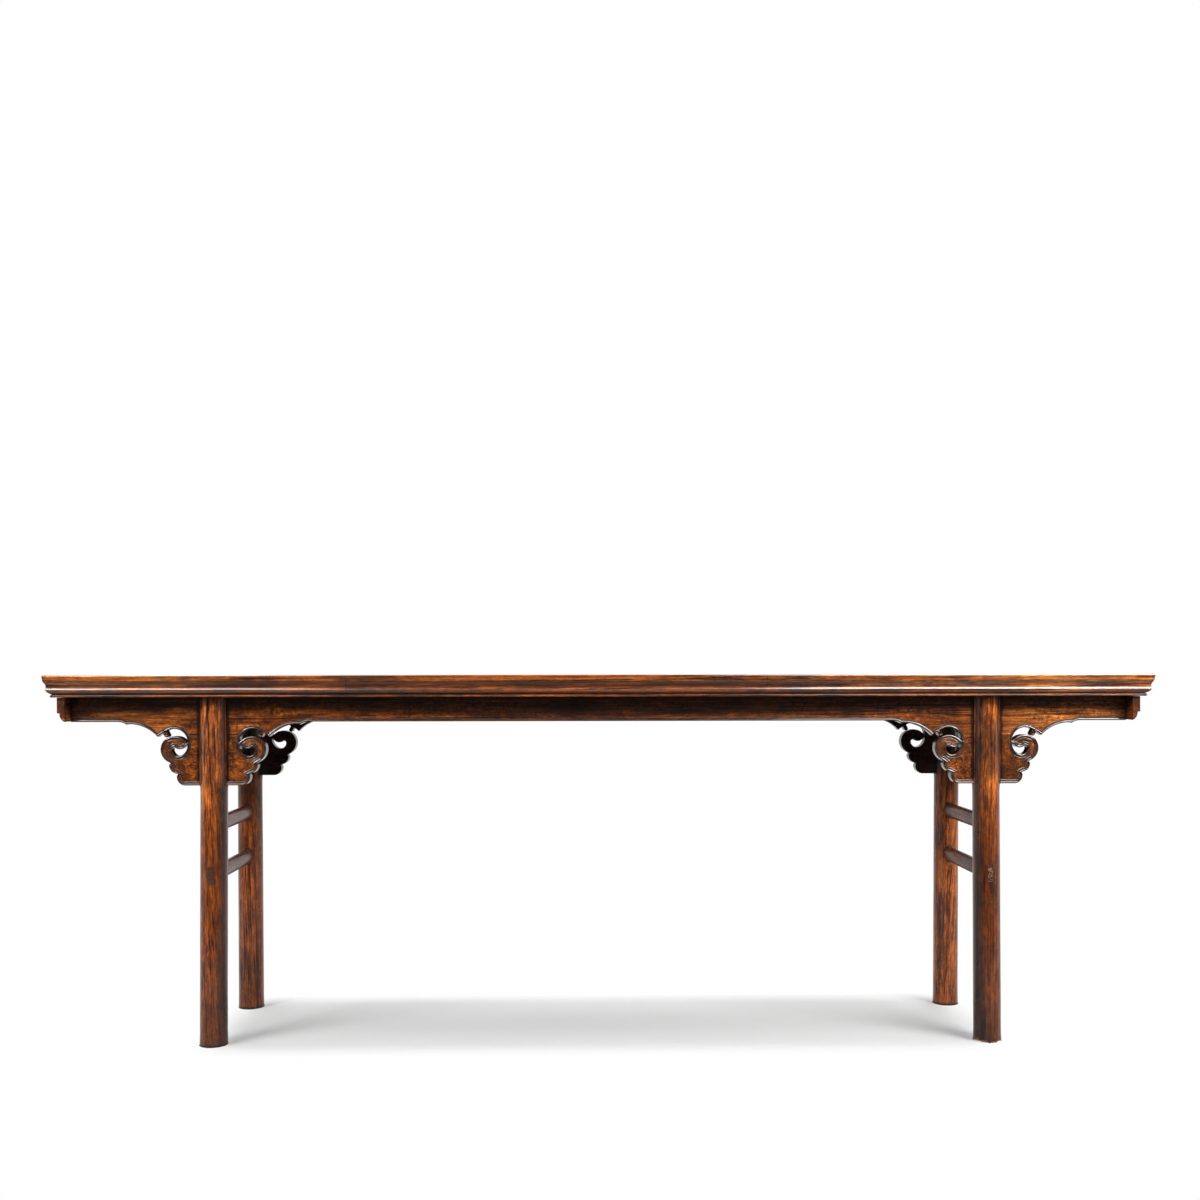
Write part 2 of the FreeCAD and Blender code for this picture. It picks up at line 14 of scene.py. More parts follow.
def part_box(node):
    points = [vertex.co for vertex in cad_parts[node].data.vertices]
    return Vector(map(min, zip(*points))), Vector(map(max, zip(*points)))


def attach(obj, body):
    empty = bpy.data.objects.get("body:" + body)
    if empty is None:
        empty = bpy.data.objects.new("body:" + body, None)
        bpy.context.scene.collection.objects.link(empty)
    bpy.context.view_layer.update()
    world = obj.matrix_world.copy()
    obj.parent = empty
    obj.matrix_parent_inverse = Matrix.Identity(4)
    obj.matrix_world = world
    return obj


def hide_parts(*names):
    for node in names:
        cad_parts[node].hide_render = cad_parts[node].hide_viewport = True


bl_info = {
    "name": "Altar Table",
    "version": (1, 0, 0),
    "blender": (4, 5, 0),
    "location": "View3D > Sidebar > Altar Table",
    "description": "Builds the looks of a joined altar table around its fixed frame",
    "category": "Object",
}

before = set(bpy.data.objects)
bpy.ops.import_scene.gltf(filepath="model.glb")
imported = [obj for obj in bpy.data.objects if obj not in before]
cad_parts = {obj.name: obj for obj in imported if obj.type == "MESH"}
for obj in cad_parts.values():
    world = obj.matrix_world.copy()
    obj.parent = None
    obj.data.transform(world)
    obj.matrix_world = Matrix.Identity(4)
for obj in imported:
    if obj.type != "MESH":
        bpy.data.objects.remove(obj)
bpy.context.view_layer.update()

MM = 0.001
# How near two points count as one, and the angles up to which faces are merged and shaded as one,
# and beyond which an edge is softened.
WELD = 1e-6
FLAT = math.radians(0.5)
SMOOTH = math.radians(35)
SHARP = math.radians(50)
ENDS = ("left", "right")
ROWS = ("front", "back")


def hex_colour(code):
    """Turns an sRGB colour code into linear red, green, blue and alpha."""
    levels = [int(code[i : i + 2], 16) / 255 for i in (0, 2, 4)]
    linear = [c / 12.92 if c <= 0.04045 else ((c + 0.055) / 1.055) ** 2.4 for c in levels]
    return (*linear, 1.0)


def colour_setting(name, code, description):
    """A colour of the wood or the stage that a user can change."""
    return FloatVectorProperty(
        name=name,
        description=description,
        default=hex_colour(code),
        size=4,
        min=0.0,
        max=1.0,
        subtype="COLOR",
    )


def length_setting(name, default, description):
    """A length that a user can change, in metres."""
    return FloatProperty(name=name, description=description, default=default, unit="LENGTH")


# ---------------------------------------------------------------- settings


class AltarTableShape(PropertyGroup):
    """Sizes of the details that the looks add to the frame."""

    bead_radius: length_setting("Bead radius", 2.8 * MM, "Half width of the bead on carved edges")
    field_depth: length_setting("Field depth", 3.4 * MM, "How far the field lies behind the bead")
    groove_radius: length_setting("Groove radius", 1.9 * MM, "Half width of the line beside a bead")
    bead_step: length_setting("Bead step", 11 * MM, "Longest straight run of a bead")
    rim: length_setting("Rim", 4.0 * MM, "Width of the rounded outer edge of the top")
    arris: length_setting("Arris", 0.8 * MM, "Width of the softened edges")
    wear: length_setting("Wear", 0.4 * MM, "How far use has worn the surfaces down")
    sway: length_setting("Sway", 0.9 * MM, "How far the hand-shaped legs leave the straight line")
    row_pitch: length_setting("Row pitch", 24 * MM, "Distance between the rows of a long piece")
    joint_gap: length_setting("Joint gap", 0.4 * MM, "Softened edge at an open joint line")
    chips: IntProperty(name="Chips", description="Chips round the worn foot", default=11, min=0)


class AltarTableWood(PropertyGroup):
    """Colours of the aged wood."""

    amber: colour_setting("Amber", "AE5A1C", "Light rings of the moulded frame")
    chestnut: colour_setting("Chestnut", "6E3410", "Dark rings of the moulded frame")
    honey: colour_setting("Honey", "A4561C", "Light rings of the carved boards")
    walnut: colour_setting("Walnut", "5A2A10", "Dark rings of the carved boards")
    russet: colour_setting("Russet", "944A18", "Light rings of the legs")
    mahogany: colour_setting("Mahogany", "54260E", "Dark rings of the legs")
    # The streak colour also serves as painted shade in the hollow of the moulding.
    streak_and_shade: colour_setting("Streak_and_shade", "22110B", "Long dark streaks in the grain")
    # Grime is the colour of old dirt and also of painted shade in hollows and on downward faces.
    grime_and_shade: colour_setting("Grime_and_shade", "120B08", "Old dirt in the corners")
    rubbed: colour_setting("Rubbed", "C48648", "Edges that hands have rubbed bare")
    # Soot tones: unpolished inner wood and painted shade; soot is also laid over as painted shade.
    soot_and_shade_light: colour_setting("Smoked", "24150F", "Lighter wood of the unpolished inner faces")
    soot_and_shade: colour_setting("Soot", "120B08", "Darker wood of the unpolished inner faces")
    raw: colour_setting("Raw", "BE8A5E", "Fresh wood in the chips")


class AltarTableStudio(PropertyGroup):
    """The stage, its light and the camera."""

    floor_colour: colour_setting("Floor", "C2C2C2", "Colour of the floor and the backdrop")
    bounce_colour: colour_setting("Bounce", "A8A8A8", "Tone of the floor for the light it throws")
    floor_glow: FloatProperty(
        name="Floor glow", description="Share of plain white in the floor", default=0.15
    )
    air: FloatProperty(name="Air", description="Strength of the light from all round", default=0.18)
    focal: FloatProperty(name="Focal length", description="Lens of the camera in mm", default=38.84)
    eye_height: length_setting("Eye height", 0.8604, "Height of the camera above the floor")
    distance: length_setting("Distance", 3.2392, "Distance of the camera from the table's middle")


# ---------------------------------------------------------------- working on meshes


def deselect():
    """Leaves nothing selected."""
    if bpy.context.object and bpy.context.object.mode != "OBJECT":
        bpy.ops.object.mode_set(mode="OBJECT")
    bpy.ops.object.select_all(action="DESELECT")


def activate(piece):
    """Selects one piece alone."""
    deselect()
    piece.select_set(True)
    bpy.context.view_layer.objects.active = piece


def edit(piece, pick=None, kind="FACE"):
    """Opens a piece in edit mode and selects the faces, edges or corners that pick is true for."""
    activate(piece)
    bpy.ops.object.mode_set(mode="EDIT")
    bpy.ops.mesh.select_mode(type=kind)
    bpy.ops.mesh.select_all(action="SELECT" if pick is None else "DESELECT")
    if pick is None:
        return
    mesh = bmesh.from_edit_mesh(piece.data)
    for item in {"FACE": mesh.faces, "EDGE": mesh.edges, "VERT": mesh.verts}[kind]:
        if pick(item):
            item.select_set(True)
    bmesh.update_edit_mesh(piece.data)


def leave():
    """Goes back to object mode."""
    bpy.ops.object.mode_set(mode="OBJECT")


def apply(piece, kind, **settings):
    """Adds a modifier with these settings and applies it."""
    activate(piece)
    modifier = piece.modifiers.new(kind.lower(), kind)
    for key, value in settings.items():
        setattr(modifier, key, value)
    bpy.ops.object.modifier_apply(modifier=modifier.name)


def fresh_copy(node, name):
    """Copies the mesh of a node into a new piece and merges its loose triangles."""
    piece = bpy.data.objects.new(name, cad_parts[node].data.copy())
    bpy.context.scene.collection.objects.link(piece)
    piece.data.materials.clear()
    activate(piece)
    bpy.ops.mesh.customdata_custom_splitnormals_clear()
    edit(piece)
    bpy.ops.mesh.remove_doubles(threshold=WELD)
    bpy.ops.mesh.dissolve_limited(angle_limit=FLAT)
    leave()
    return piece


def cut_rows(piece, axis, pitch):
    """Cuts a piece across an axis into rows of about one pitch, so that it can take wear."""
    places = [v.co[axis] for v in piece.data.vertices]
    low, high = min(places), max(places)
    count = max(1, round((high - low) / pitch))
    normal = [0.0, 0.0, 0.0]
    normal[axis] = 1.0
    activate(piece)
    bpy.ops.object.mode_set(mode="EDIT")
    for i in range(1, count):
        point = [0.0, 0.0, 0.0]
        point[axis] = low + (high - low) * i / count
        bpy.ops.mesh.select_all(action="SELECT")
        bpy.ops.mesh.bisect(plane_co=point, plane_no=normal)
    leave()


def soften(piece, width):
    """Rounds the sharp edges of a piece."""
    apply(
        piece,
        "BEVEL",
        width=width,
        segments=2,
        limit_method="ANGLE",
        angle_limit=SHARP,
        use_clamp_overlap=True,
        miter_outer="MITER_ARC",
    )


def wear_down(piece, depth, size=0.11):
    """Wears the surface of a piece down unevenly, never outwards."""
    texture = bpy.data.textures.new("hand_wear", "CLOUDS")
    texture.noise_scale = size
    texture.noise_depth = 2
    apply(piece, "DISPLACE", texture=texture, texture_coords="LOCAL", strength=depth, mid_level=1.3)


def finish_shading(piece):
    """Smooths the faces up to the sharp edges and lets the large faces lead."""
    activate(piece)
    bpy.ops.object.shade_smooth_by_angle(angle=SMOOTH)
    apply(piece, "WEIGHTED_NORMAL", keep_sharp=True)


def cut_away(piece, cutter):
    """Cuts a closed shape out of a piece; the cut faces keep the cutter's material."""
    apply(
        piece,
        "BOOLEAN",
        object=cutter,
        operation="DIFFERENCE",
        solver="MANIFOLD",
        material_mode="TRANSFER",
    )
    deselect()
    cutter.select_set(True)
    bpy.ops.object.delete()


# Chips round a foot: first angle, arc that they cover and jitter in degrees, and sizes in mm.
CHIP_START, CHIP_ARC, CHIP_JITTER = -170, 160, 7
CHIP_SIZES = (3.6, 7.5)
# The open peg hole in the front right leg.
PEG_PLACE = (0.892, -0.1905, 0.495)
PEG_RADIUS = 2.2 * MM
PEG_DEPTH = 5 * MM


def chip_foot(piece, centre, radius, raw):
    """Breaks small chips out of the rim of a foot."""
    chance = random.Random(5)
    chips = bpy.context.scene.altar_table_shape.chips
    for number in range(chips):
        jitter = chance.uniform(-CHIP_JITTER, CHIP_JITTER)
        angle = math.radians(CHIP_START + CHIP_ARC * number / max(chips - 1, 1) + jitter)
        size = chance.uniform(*CHIP_SIZES) * MM
        reach = radius + size * chance.uniform(0.0, 0.35)
        across, back = reach * math.cos(angle), reach * math.sin(angle)
        place = (centre[0] + across, centre[1] + back, size * 0.2)
        deselect()
        bpy.ops.mesh.primitive_ico_sphere_add(subdivisions=2, radius=size, location=place)
        cutter = bpy.context.object
        edit(cutter)
        bpy.ops.transform.resize(value=(1.5, 1.0, chance.uniform(0.8, 1.5)), center_override=place)
        bpy.ops.transform.vertex_random(offset=size * 0.12, seed=number)
        leave()
        cutter.data.materials.append(raw)
        cut_away(piece, cutter)


def peg_hole(piece, dark):
    """Drills a small open peg hole into the front of a leg."""
    deselect()
    bpy.ops.mesh.primitive_cylinder_add(
        vertices=20, radius=PEG_RADIUS, depth=2 * PEG_DEPTH, location=PEG_PLACE
    )
    cutter = bpy.context.object
    edit(cutter)
    bpy.ops.transform.rotate(value=math.pi / 2, orient_axis="X", center_override=PEG_PLACE)
    bpy.ops.transform.vertex_random(offset=PEG_RADIUS * 0.18, seed=3)
    leave()
    # The hole's walls take the near-black dirt and painted shade.
    cutter.data.materials.append(dark)
    cut_away(piece, cutter)


def settle(piece, node, slot, *materials):
    """Gives a finished piece its materials and its place in the frame; the slot is not used."""
    low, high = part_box(node)
    for corner in piece.data.vertices:
        corner.co = [min(max(corner.co[i], low[i]), high[i]) for i in range(3)]
    if piece.data.materials and piece.data.materials[0] is None:
        piece.data.materials[0] = materials[0]
    else:
        for material in materials:
            piece.data.materials.append(material)
    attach(piece, "root")
    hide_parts(node)


# ---------------------------------------------------------------- nodes


class Tree:
    """Adds nodes to a node tree; a value may be a number, a colour or another node's output."""

    def __init__(self, tree):
        self.tree = tree

    def add(self, kind, sockets=None, **settings):
        """Adds a node with these settings, and with these values or links in its sockets."""
        node = self.tree.nodes.new(kind)
        for key, value in settings.items():
            setattr(node, key, value)
        for key, value in (sockets or {}).items():
            self.give(value, node.inputs[key])
        return node

    def give(self, value, socket):
        """Links an output to a socket, or sets the socket to a number or colour."""
        if isinstance(value, bpy.types.NodeSocket):
            self.tree.links.new(value, socket)
        else:
            socket.default_value = value

    def object_place(self):
        """The place on the piece, in its own coordinates."""
        return self.add("ShaderNodeTexCoord").outputs["Object"]

    def parts(self, vector):
        """The X, Y and Z of a vector."""
        return self.add("ShaderNodeSeparateXYZ", {0: vector}).outputs

    def maths(self, operation, first, second=0.0, clamp=False):
        """The output of a Math node."""
        return self.add(
            "ShaderNodeMath", {0: first, 1: second}, operation=operation, use_clamp=clamp
        ).outputs[0]

    def times(self, first, second, clamp=False):
        """One value times another."""
        return self.maths("MULTIPLY", first, second, clamp)

    def plus(self, first, second, clamp=False):
        """The sum of two values."""
        return self.maths("ADD", first, second, clamp)

    def minus(self, first, second):
        """One value less another."""
        return self.maths("SUBTRACT", first, second)

    def larger(self, first, second, clamp=False):
        """The larger of two values."""
        return self.maths("MAXIMUM", first, second, clamp)

    def apart(self, first, second=0.0):
        """How far two values are apart."""
        return self.maths("ABSOLUTE", self.minus(first, second))

    def aligned(self, first, second):
        """The dot product of two vectors."""
        node = self.add("ShaderNodeVectorMath", {0: first, 1: second}, operation="DOT_PRODUCT")
        return node.outputs["Value"]

    def ramp(self, value, low, high, to_low=0.0, to_high=1.0):
        """Spreads the part of a value between low and high over a new range."""
        sockets = {"Value": value, "From Min": low, "From Max": high}
        sockets.update({"To Min": to_low, "To Max": to_high})
        node = self.add("ShaderNodeMapRange", sockets, interpolation_type="SMOOTHSTEP")
        return node.outputs["Result"]

    def blend(self, share, first, second, how="MIX"):
        """Mixes two colours."""
        node = self.add("ShaderNodeMix", data_type="RGBA", blend_type=how)
        for key, value in (("Factor", share), ("A", first), ("B", second)):
            self.give(value, next(s for s in node.inputs if s.name == key and s.enabled))
        return next(s for s in node.outputs if s.enabled)

    def gained(self, colour, *gains):
        """A colour with its red, green and blue each times its own gain."""
        if len(gains) == 1:
            gains = gains * 3
        levels = self.add("ShaderNodeCombineColor", dict(enumerate(gains))).outputs[0]
        return self.blend(1.0, colour, levels, "MULTIPLY")

    def mapped(self, vector, **settings):
        """A place after a Mapping node with these settings."""
        sockets = {"Vector": vector, **settings}
        return self.add("ShaderNodeMapping", sockets, vector_type="POINT").outputs["Vector"]

    def noise(self, vector, scale, detail=3.0, rough=0.5, distortion=0.0):
        """The value of a noise texture; a pair as its scale is along and across the grain."""
        if isinstance(scale, tuple):
            axes = scale if len(scale) == 3 else (*scale, scale[1])
            vector, scale = self.mapped(vector, Scale=axes), 1.0
        sockets = {"Vector": vector, "Scale": scale, "Detail": detail}
        sockets.update({"Roughness": rough, "Distortion": distortion})
        return self.add("ShaderNodeTexNoise", sockets, noise_dimensions="3D").outputs["Fac"]


def new_material(name):
    """A new material, its tree and its shader."""
    material = bpy.data.materials.new(name)
    material.use_nodes = True
    return material, Tree(material.node_tree), material.node_tree.nodes["Principled BSDF"]


# ---------------------------------------------------------------- wood

# How fine each mark of the wood is, per metre along and across the grain.
SWAY = (2.2, 9.0)
BANDS = (3.0, 150.0)
MOTTLE = (45.0, 95.0)
GLOW = (3.4, 17.0)
STREAKS = (2.0, 240.0)
BROAD = (1.8, 34.0)
BLOTCHES = (7.0, 14.0)
FIBRES = (11.0, 300.0)
PORES = (55.0, 1500.0)
DIRT_AND_SHADE = (30.0, 60.0)
EDGES = (42.0, 90.0)
POLISH = (14.0, 40.0)
SCRATCHES = (420.0, 38.0)
DENTS = (20.0, 34.0)

# How far dirt and painted shade reach from walls, corners and beads, and how wide an edge is
# rubbed.
DIRT_AND_SHADE_REACH, CORNER_REACH, BEAD_REACH, RUB_REACH = 0.02, 0.006, 0.013, 0.0022
BUMP = 0.0006
FINE_BUMP = 0.0005

# What a wood's own figure may set: pith is the distance from the trunk's middle in metres, tilt the
# grain's lean in degrees, ring the pitch of the rings, short how much the marks are shortened, coat
# and specular the gloss, and the rest are strengths.
PLAIN = {
    "pith": 0.12,
    "tilt": 1.6,
    "ring": 9.0,
    "short": 1.0,
    "streaks": 0.85,
    "rub": 0.6,
    "glow": 0.5,
    "coat": 0.85,
    "specular": 0.06,
}
FRAME = {"pith": 0.16, "tilt": 0.7, "ring": 7.0}
LIP = {**FRAME, "streaks": 1.35, "rub": 0.45, "glow": 0.15}
# The top face is waxed, not lacquered, so it keeps its colour where lamps are mirrored in it.
WAXED = {"coat": 0.08, "specular": 0.0}
PANEL = {**WAXED, "pith": 0.05, "tilt": 1.2, "ring": 5.0, "glow": 0.15}
APRON = {"pith": 0.09, "tilt": 1.1, "ring": 8.0, "coat": 0.35}
SPANDREL = {"pith": 0.04, "tilt": 5.0, "ring": 11.0, "streaks": 0.4, "coat": 0.35, "short": 4.5}
LEG = {"pith": 0.025, "tilt": 2.4, "ring": 22.0, "rub": 0.0, "glow": 0.3, "coat": 0.65}


def figure_group():
    """A new, empty node group of the aged wood with its sockets."""
    group = bpy.data.node_groups.new("wood_figure", "ShaderNodeTree")
    sockets = {
        "INPUT": (
            ("Vector", ("Vector",)),
            ("Color", ("Light", "Dark", "Streak_and_shade", "Grime_and_shade", "Rubbed")),
            ("Float", ("Ring", "Streaks", "Rub", "Glow")),
        ),
        "OUTPUT": (("Color", ("Color",)), ("Float", ("Roughness",)), ("Vector", ("Normal",))),
    }
    for way, kinds in sockets.items():
        for kind, names in kinds:
            for name in names:
                group.interface.new_socket(name, in_out=way, socket_type="NodeSocket" + kind)
    return group


def wood_figure():
    """The node group of the aged wood; its grain runs along X of the vector that it is given."""
    group = bpy.data.node_groups.get("wood_figure")
    if group:
        return group
    group = figure_group()
    t = Tree(group)
    given = t.add("NodeGroupInput").outputs
    vector = given["Vector"]

    sway = t.noise(vector, SWAY, detail=2.0)
    offset = t.add("ShaderNodeCombineXYZ", {"Y": t.times(sway, 0.016), "Z": t.times(sway, -0.012)})
    swayed = {0: vector, 1: offset.outputs[0]}
    bent = t.add("ShaderNodeVectorMath", swayed, operation="ADD").outputs[0]

    rings = t.add(
        "ShaderNodeTexWave",
        {
            "Vector": bent,
            "Scale": given["Ring"],
            "Distortion": 1.3,
            "Detail": 3.0,
            "Detail Scale": 0.16,
            "Detail Roughness": 0.62,
        },
        wave_type="RINGS",
        rings_direction="X",
        wave_profile="SAW",
    ).outputs["Fac"]
    bands = t.ramp(t.noise(bent, BANDS, detail=6.0, rough=0.7, distortion=0.3), 0.38, 0.62)
    mottle = t.ramp(t.noise(vector, MOTTLE, detail=8.0, rough=0.8), 0.40, 0.60)
    figure = t.plus(t.times(t.ramp(rings, 0.25, 0.95), 0.34), t.times(bands, 0.34))
    figure = t.plus(figure, t.times(mottle, 0.46), clamp=True)
    colour = t.blend(figure, given["Light"], given["Dark"])
    glow = t.times(t.ramp(t.noise(vector, GLOW, detail=4.0), 0.50, 0.70), given["Glow"])
    colour = t.blend(glow, colour, t.gained(colour, 2.1, 2.0, 1.7))

    streak_noise = t.noise(bent, STREAKS, detail=7.0, rough=0.6, distortion=0.15)
    broad = t.ramp(t.noise(bent, BROAD, detail=4.0), 0.42, 0.60, 0.10, 1.25)
    streak_and_shade = t.times(t.ramp(streak_noise, 0.52, 0.60), broad)
    colour = t.blend(t.times(streak_and_shade, given["Streaks"], clamp=True), colour, given["Streak_and_shade"])
    blotch = t.noise(vector, BLOTCHES, detail=5.0, rough=0.6)
    colour = t.blend(t.ramp(blotch, 0.42, 0.66, 0.0, 0.72), colour, given["Streak_and_shade"])

    fibre = t.noise(bent, FIBRES, detail=7.0, rough=0.8)
    colour = t.gained(colour, t.ramp(fibre, 0.38, 0.62, 0.36, 1.55))
    pores = t.ramp(t.noise(bent, PORES, detail=2.0), 0.60, 0.70)
    colour = t.blend(t.times(pores, 0.5), colour, given["Streak_and_shade"])

    def open_air(reach):
        return t.add("ShaderNodeAmbientOcclusion", {"Distance": reach}, samples=8).outputs["AO"]

    def rounded(reach, samples):
        return t.add("ShaderNodeBevel", {"Radius": reach}, samples=samples).outputs["Normal"]

    # Occlusion darkens corners, creases and bead sides: partly old dirt, partly painted shade.
    closeness = open_air(DIRT_AND_SHADE_REACH)
    corner = t.ramp(open_air(CORNER_REACH), 0.50, 0.90, 1.0, 0.0)
    true_normal = t.add("ShaderNodeNewGeometry").outputs["Normal"]
    dirt_and_shade_noise = t.noise(vector, DIRT_AND_SHADE, detail=4.0)
    near_bead_dirt_and_shade = t.ramp(t.aligned(rounded(BEAD_REACH, 8), true_normal), 0.55, 0.99, 0.8, 0.0)
    near_bead_dirt_and_shade = t.times(near_bead_dirt_and_shade, t.ramp(dirt_and_shade_noise, 0.35, 0.65, 0.35, 1.0))
    dirt_and_shade = t.larger(t.ramp(closeness, 0.35, 0.93, 1.0, 0.0), corner)
    dirt_and_shade = t.larger(t.minus(dirt_and_shade, t.times(dirt_and_shade_noise, 0.25)), near_bead_dirt_and_shade, clamp=True)
    colour = t.blend(dirt_and_shade, colour, given["Grime_and_shade"])
    # Faces turned downwards are darkened as painted shade.
    shade_below = t.ramp(t.parts(true_normal)["Z"], -0.95, -0.3, 0.85, 0.0)
    colour = t.blend(shade_below, colour, given["Grime_and_shade"])

    edge = t.ramp(t.aligned(rounded(RUB_REACH, 6), true_normal), 0.80, 0.985, 1.0, 0.0)
    edge = t.times(edge, t.ramp(t.noise(vector, EDGES, detail=5.0), 0.42, 0.66))
    edge = t.times(edge, given["Rub"])
    edge = t.times(edge, t.ramp(closeness, 0.55, 0.85), clamp=True)
    colour = t.blend(edge, colour, given["Rubbed"])

    gloss = t.noise(vector, POLISH, detail=5.0, rough=0.6)
    rough = t.plus(t.ramp(gloss, 0.3, 0.75, 0.24, 0.44), t.times(dirt_and_shade, 0.35))
    rough = t.plus(rough, t.times(pores, 0.12), clamp=True)

    scratch = t.ramp(t.noise(vector, SCRATCHES, detail=2.0), 0.66, 0.70)
    dents = t.noise(vector, DENTS)
    height = t.times(fibre, 0.35)
    for mark, depth in ((pores, -0.35), (streak_noise, 0.55), (scratch, -0.12), (dents, 1.5)):
        height = t.plus(height, t.times(mark, depth))
    bump = t.add("ShaderNodeBump", {"Height": height, "Strength": 0.55, "Distance": BUMP})
    made = {"Color": colour, "Roughness": rough, "Normal": bump.outputs["Normal"]}
    t.add("NodeGroupOutput", made)
    return group


TURN = {"X": (0.0, 0.0, 0.0), "Y": (0.0, 0.0, -math.pi / 2), "Z": (0.0, math.pi / 2, 0.0)}


def wood(name, light, dark, grain, seed, **own):
    """Wood of two tones whose grain runs along X, Y or Z, from its own part of the log."""
    colours = bpy.context.scene.altar_table_wood
    figure = {**PLAIN, **own}
    material, t, shader = new_material(name)
    for key, value in (
        ("IOR", 1.45),
        ("Specular IOR Level", figure["specular"]),
        ("Coat Weight", figure["coat"]),
        ("Coat IOR", 1.4),
        ("Coat Roughness", 0.13),
    ):
        shader.inputs[key].default_value = value
    chance = random.Random(seed)
    lean = math.radians(figure["tilt"]) * chance.choice((-1, 1))
    pith = figure["pith"]
    along = chance.uniform(1, 9)
    offset = (along, pith * chance.uniform(0.7, 1.3), pith * chance.uniform(-0.6, 0.6))
    straight = t.mapped(t.object_place(), Rotation=TURN[grain])
    leaning = t.mapped(
        straight,
        Location=offset,
        Rotation=(0.0, lean * 0.6, lean),
        Scale=(figure["short"], 1.0, 1.0),
    )
    values = {"Vector": leaning, "Light": getattr(colours, light), "Dark": getattr(colours, dark)}
    for key in ("streak_and_shade", "grime_and_shade", "rubbed"):
        values[key.capitalize()] = getattr(colours, key)
    for key in ("ring", "streaks", "rub", "glow"):
        values[key.capitalize()] = figure[key]
    look = t.add("ShaderNodeGroup", values, node_tree=wood_figure()).outputs
    t.give(look["Color"], shader.inputs["Base Color"])
    t.give(look["Roughness"], shader.inputs["Roughness"])
    t.give(look["Normal"], shader.inputs["Normal"])
    return material


# ---------------------------------------------------------------- age, painted light and shade


def overlay(colour="soot_and_shade", gain=None):
    """Turns a share into a way to lay a colour, or a gain of its own colour, over a wood by it.

    The share takes the tree, the place on the piece, its X, Y and Z, the way it faces and the
    marks that the wood is called with.
    """

    def turned(share):
        @functools.wraps(share)
        def lay(material, **marks):
            t = Tree(material.node_tree)
            base = material.node_tree.nodes["Principled BSDF"].inputs["Base Color"]
            under = base.links[0].from_socket
            place = t.object_place()
            facing = t.parts(t.add("ShaderNodeNewGeometry").outputs["Normal"])
            tones = bpy.context.scene.altar_table_wood
            over = t.gained(under, *gain) if gain else getattr(tones, colour)
            t.give(t.blend(share(t, place, t.parts(place), facing, **marks), under, over), base)

        return lay

    return turned


# Cracks across the front moulding: place along X, and lowest and highest level.
CRACKS = (
    (-0.592, 0.818, 0.871),
    (-0.481, 0.818, 0.836),
    (-0.414, 0.862, 0.871),
    (-0.414, 0.818, 0.838),
    (0.386, 0.84, 0.871),
)
# Half widths of the joint between apron and spandrel, and of the dirt band beside a leg.
JOINT_HALF = 61.15 * MM
LEG_HALF = 33 * MM
# The levels of the cove that painted shade darkens.
COVE_LOW, COVE_HIGH = 0.838, 0.857


@overlay("grime_and_shade")
def crack(t, place, parts, facing):
    """Adds fine dark cracks across the front moulding."""
    along = t.plus(parts["X"], t.times(t.noise(place, 170.0), 4 * MM))
    total = 0.0
    for middle, low, high in CRACKS:
        line = t.ramp(t.apart(along, middle), 0.25 * MM, 0.75 * MM, 1.0, 0.0)
        line = t.times(line, t.maths("GREATER_THAN", parts["Z"], low))
        line = t.times(line, t.maths("LESS_THAN", parts["Z"], high))
        total = t.larger(line, total)
    return total


@overlay()
def painted_overhang_shade(t, place, parts, facing, low, high, most=0.85, deeper=0.0, left=0.0):
    """Darkens a surface towards the top with painted shade under the overhang.

    It reaches further down by a length in the middle, deeper, and by one at the left end, left.
    """
    across = t.apart(parts["X"])
    level = t.plus(parts["Z"], t.ramp(across, 0.25, 0.8, deeper, 0.0))
    level = t.plus(level, t.ramp(parts["X"], -1.05, -0.98, left, 0.0))
    level = t.plus(level, t.ramp(across, 1.16, 1.25, 0.0, 0.02))
    ragged = t.noise(place, (5.0, 60.0), detail=5.0)
    level = t.plus(level, t.times(t.minus(ragged, 0.5), 0.03))
    return t.ramp(level, low, high, 0.0, most)


@overlay("grime_and_shade")
def seam(t, place, parts, facing, level, middle):
    """Marks the joint between apron and spandrel as a fine dark line."""
    line = t.ramp(t.apart(parts["Z"], level), 0.3 * MM, 0.9 * MM, 0.75, 0.0)
    beside = t.apart(t.apart(parts["X"]), middle)
    return t.times(line, t.maths("LESS_THAN", beside, JOINT_HALF))


@overlay()
def beside_leg(t, place, parts, facing, middle):
    """Gathers dirt on the boards in a narrow band at both sides of a leg."""
    ragged = t.times(t.noise(place, (60.0, 25.0), detail=5.0), 12 * MM)
    beside = t.minus(t.apart(t.apart(parts["X"]), middle), ragged)
    return t.ramp(beside, LEG_HALF - 4 * MM, LEG_HALF + 3 * MM, 0.9, 0.0)


def flecks(t, place, parts, facing, high, most, size):
    """Small flecks in the old lacquer, denser in some places than in others."""
    fine = t.ramp(t.noise(place, size, detail=7.0, rough=0.75), 0.50, high, 0.0, most)
    return t.times(fine, t.ramp(t.noise(place, 13.0), 0.35, 0.6, 0.3, 1.0))


golden_flecks = overlay(gain=(1.9, 2.0, 1.5))(flecks)
dark_flecks = overlay("streak_and_shade")(flecks)


def speckle(material):
    """Mottles a board with golden and with dark flecks."""
    golden_flecks(material, high=0.62, most=0.85, size=95.0)
    dark_flecks(material, high=0.60, most=0.80, size=120.0)


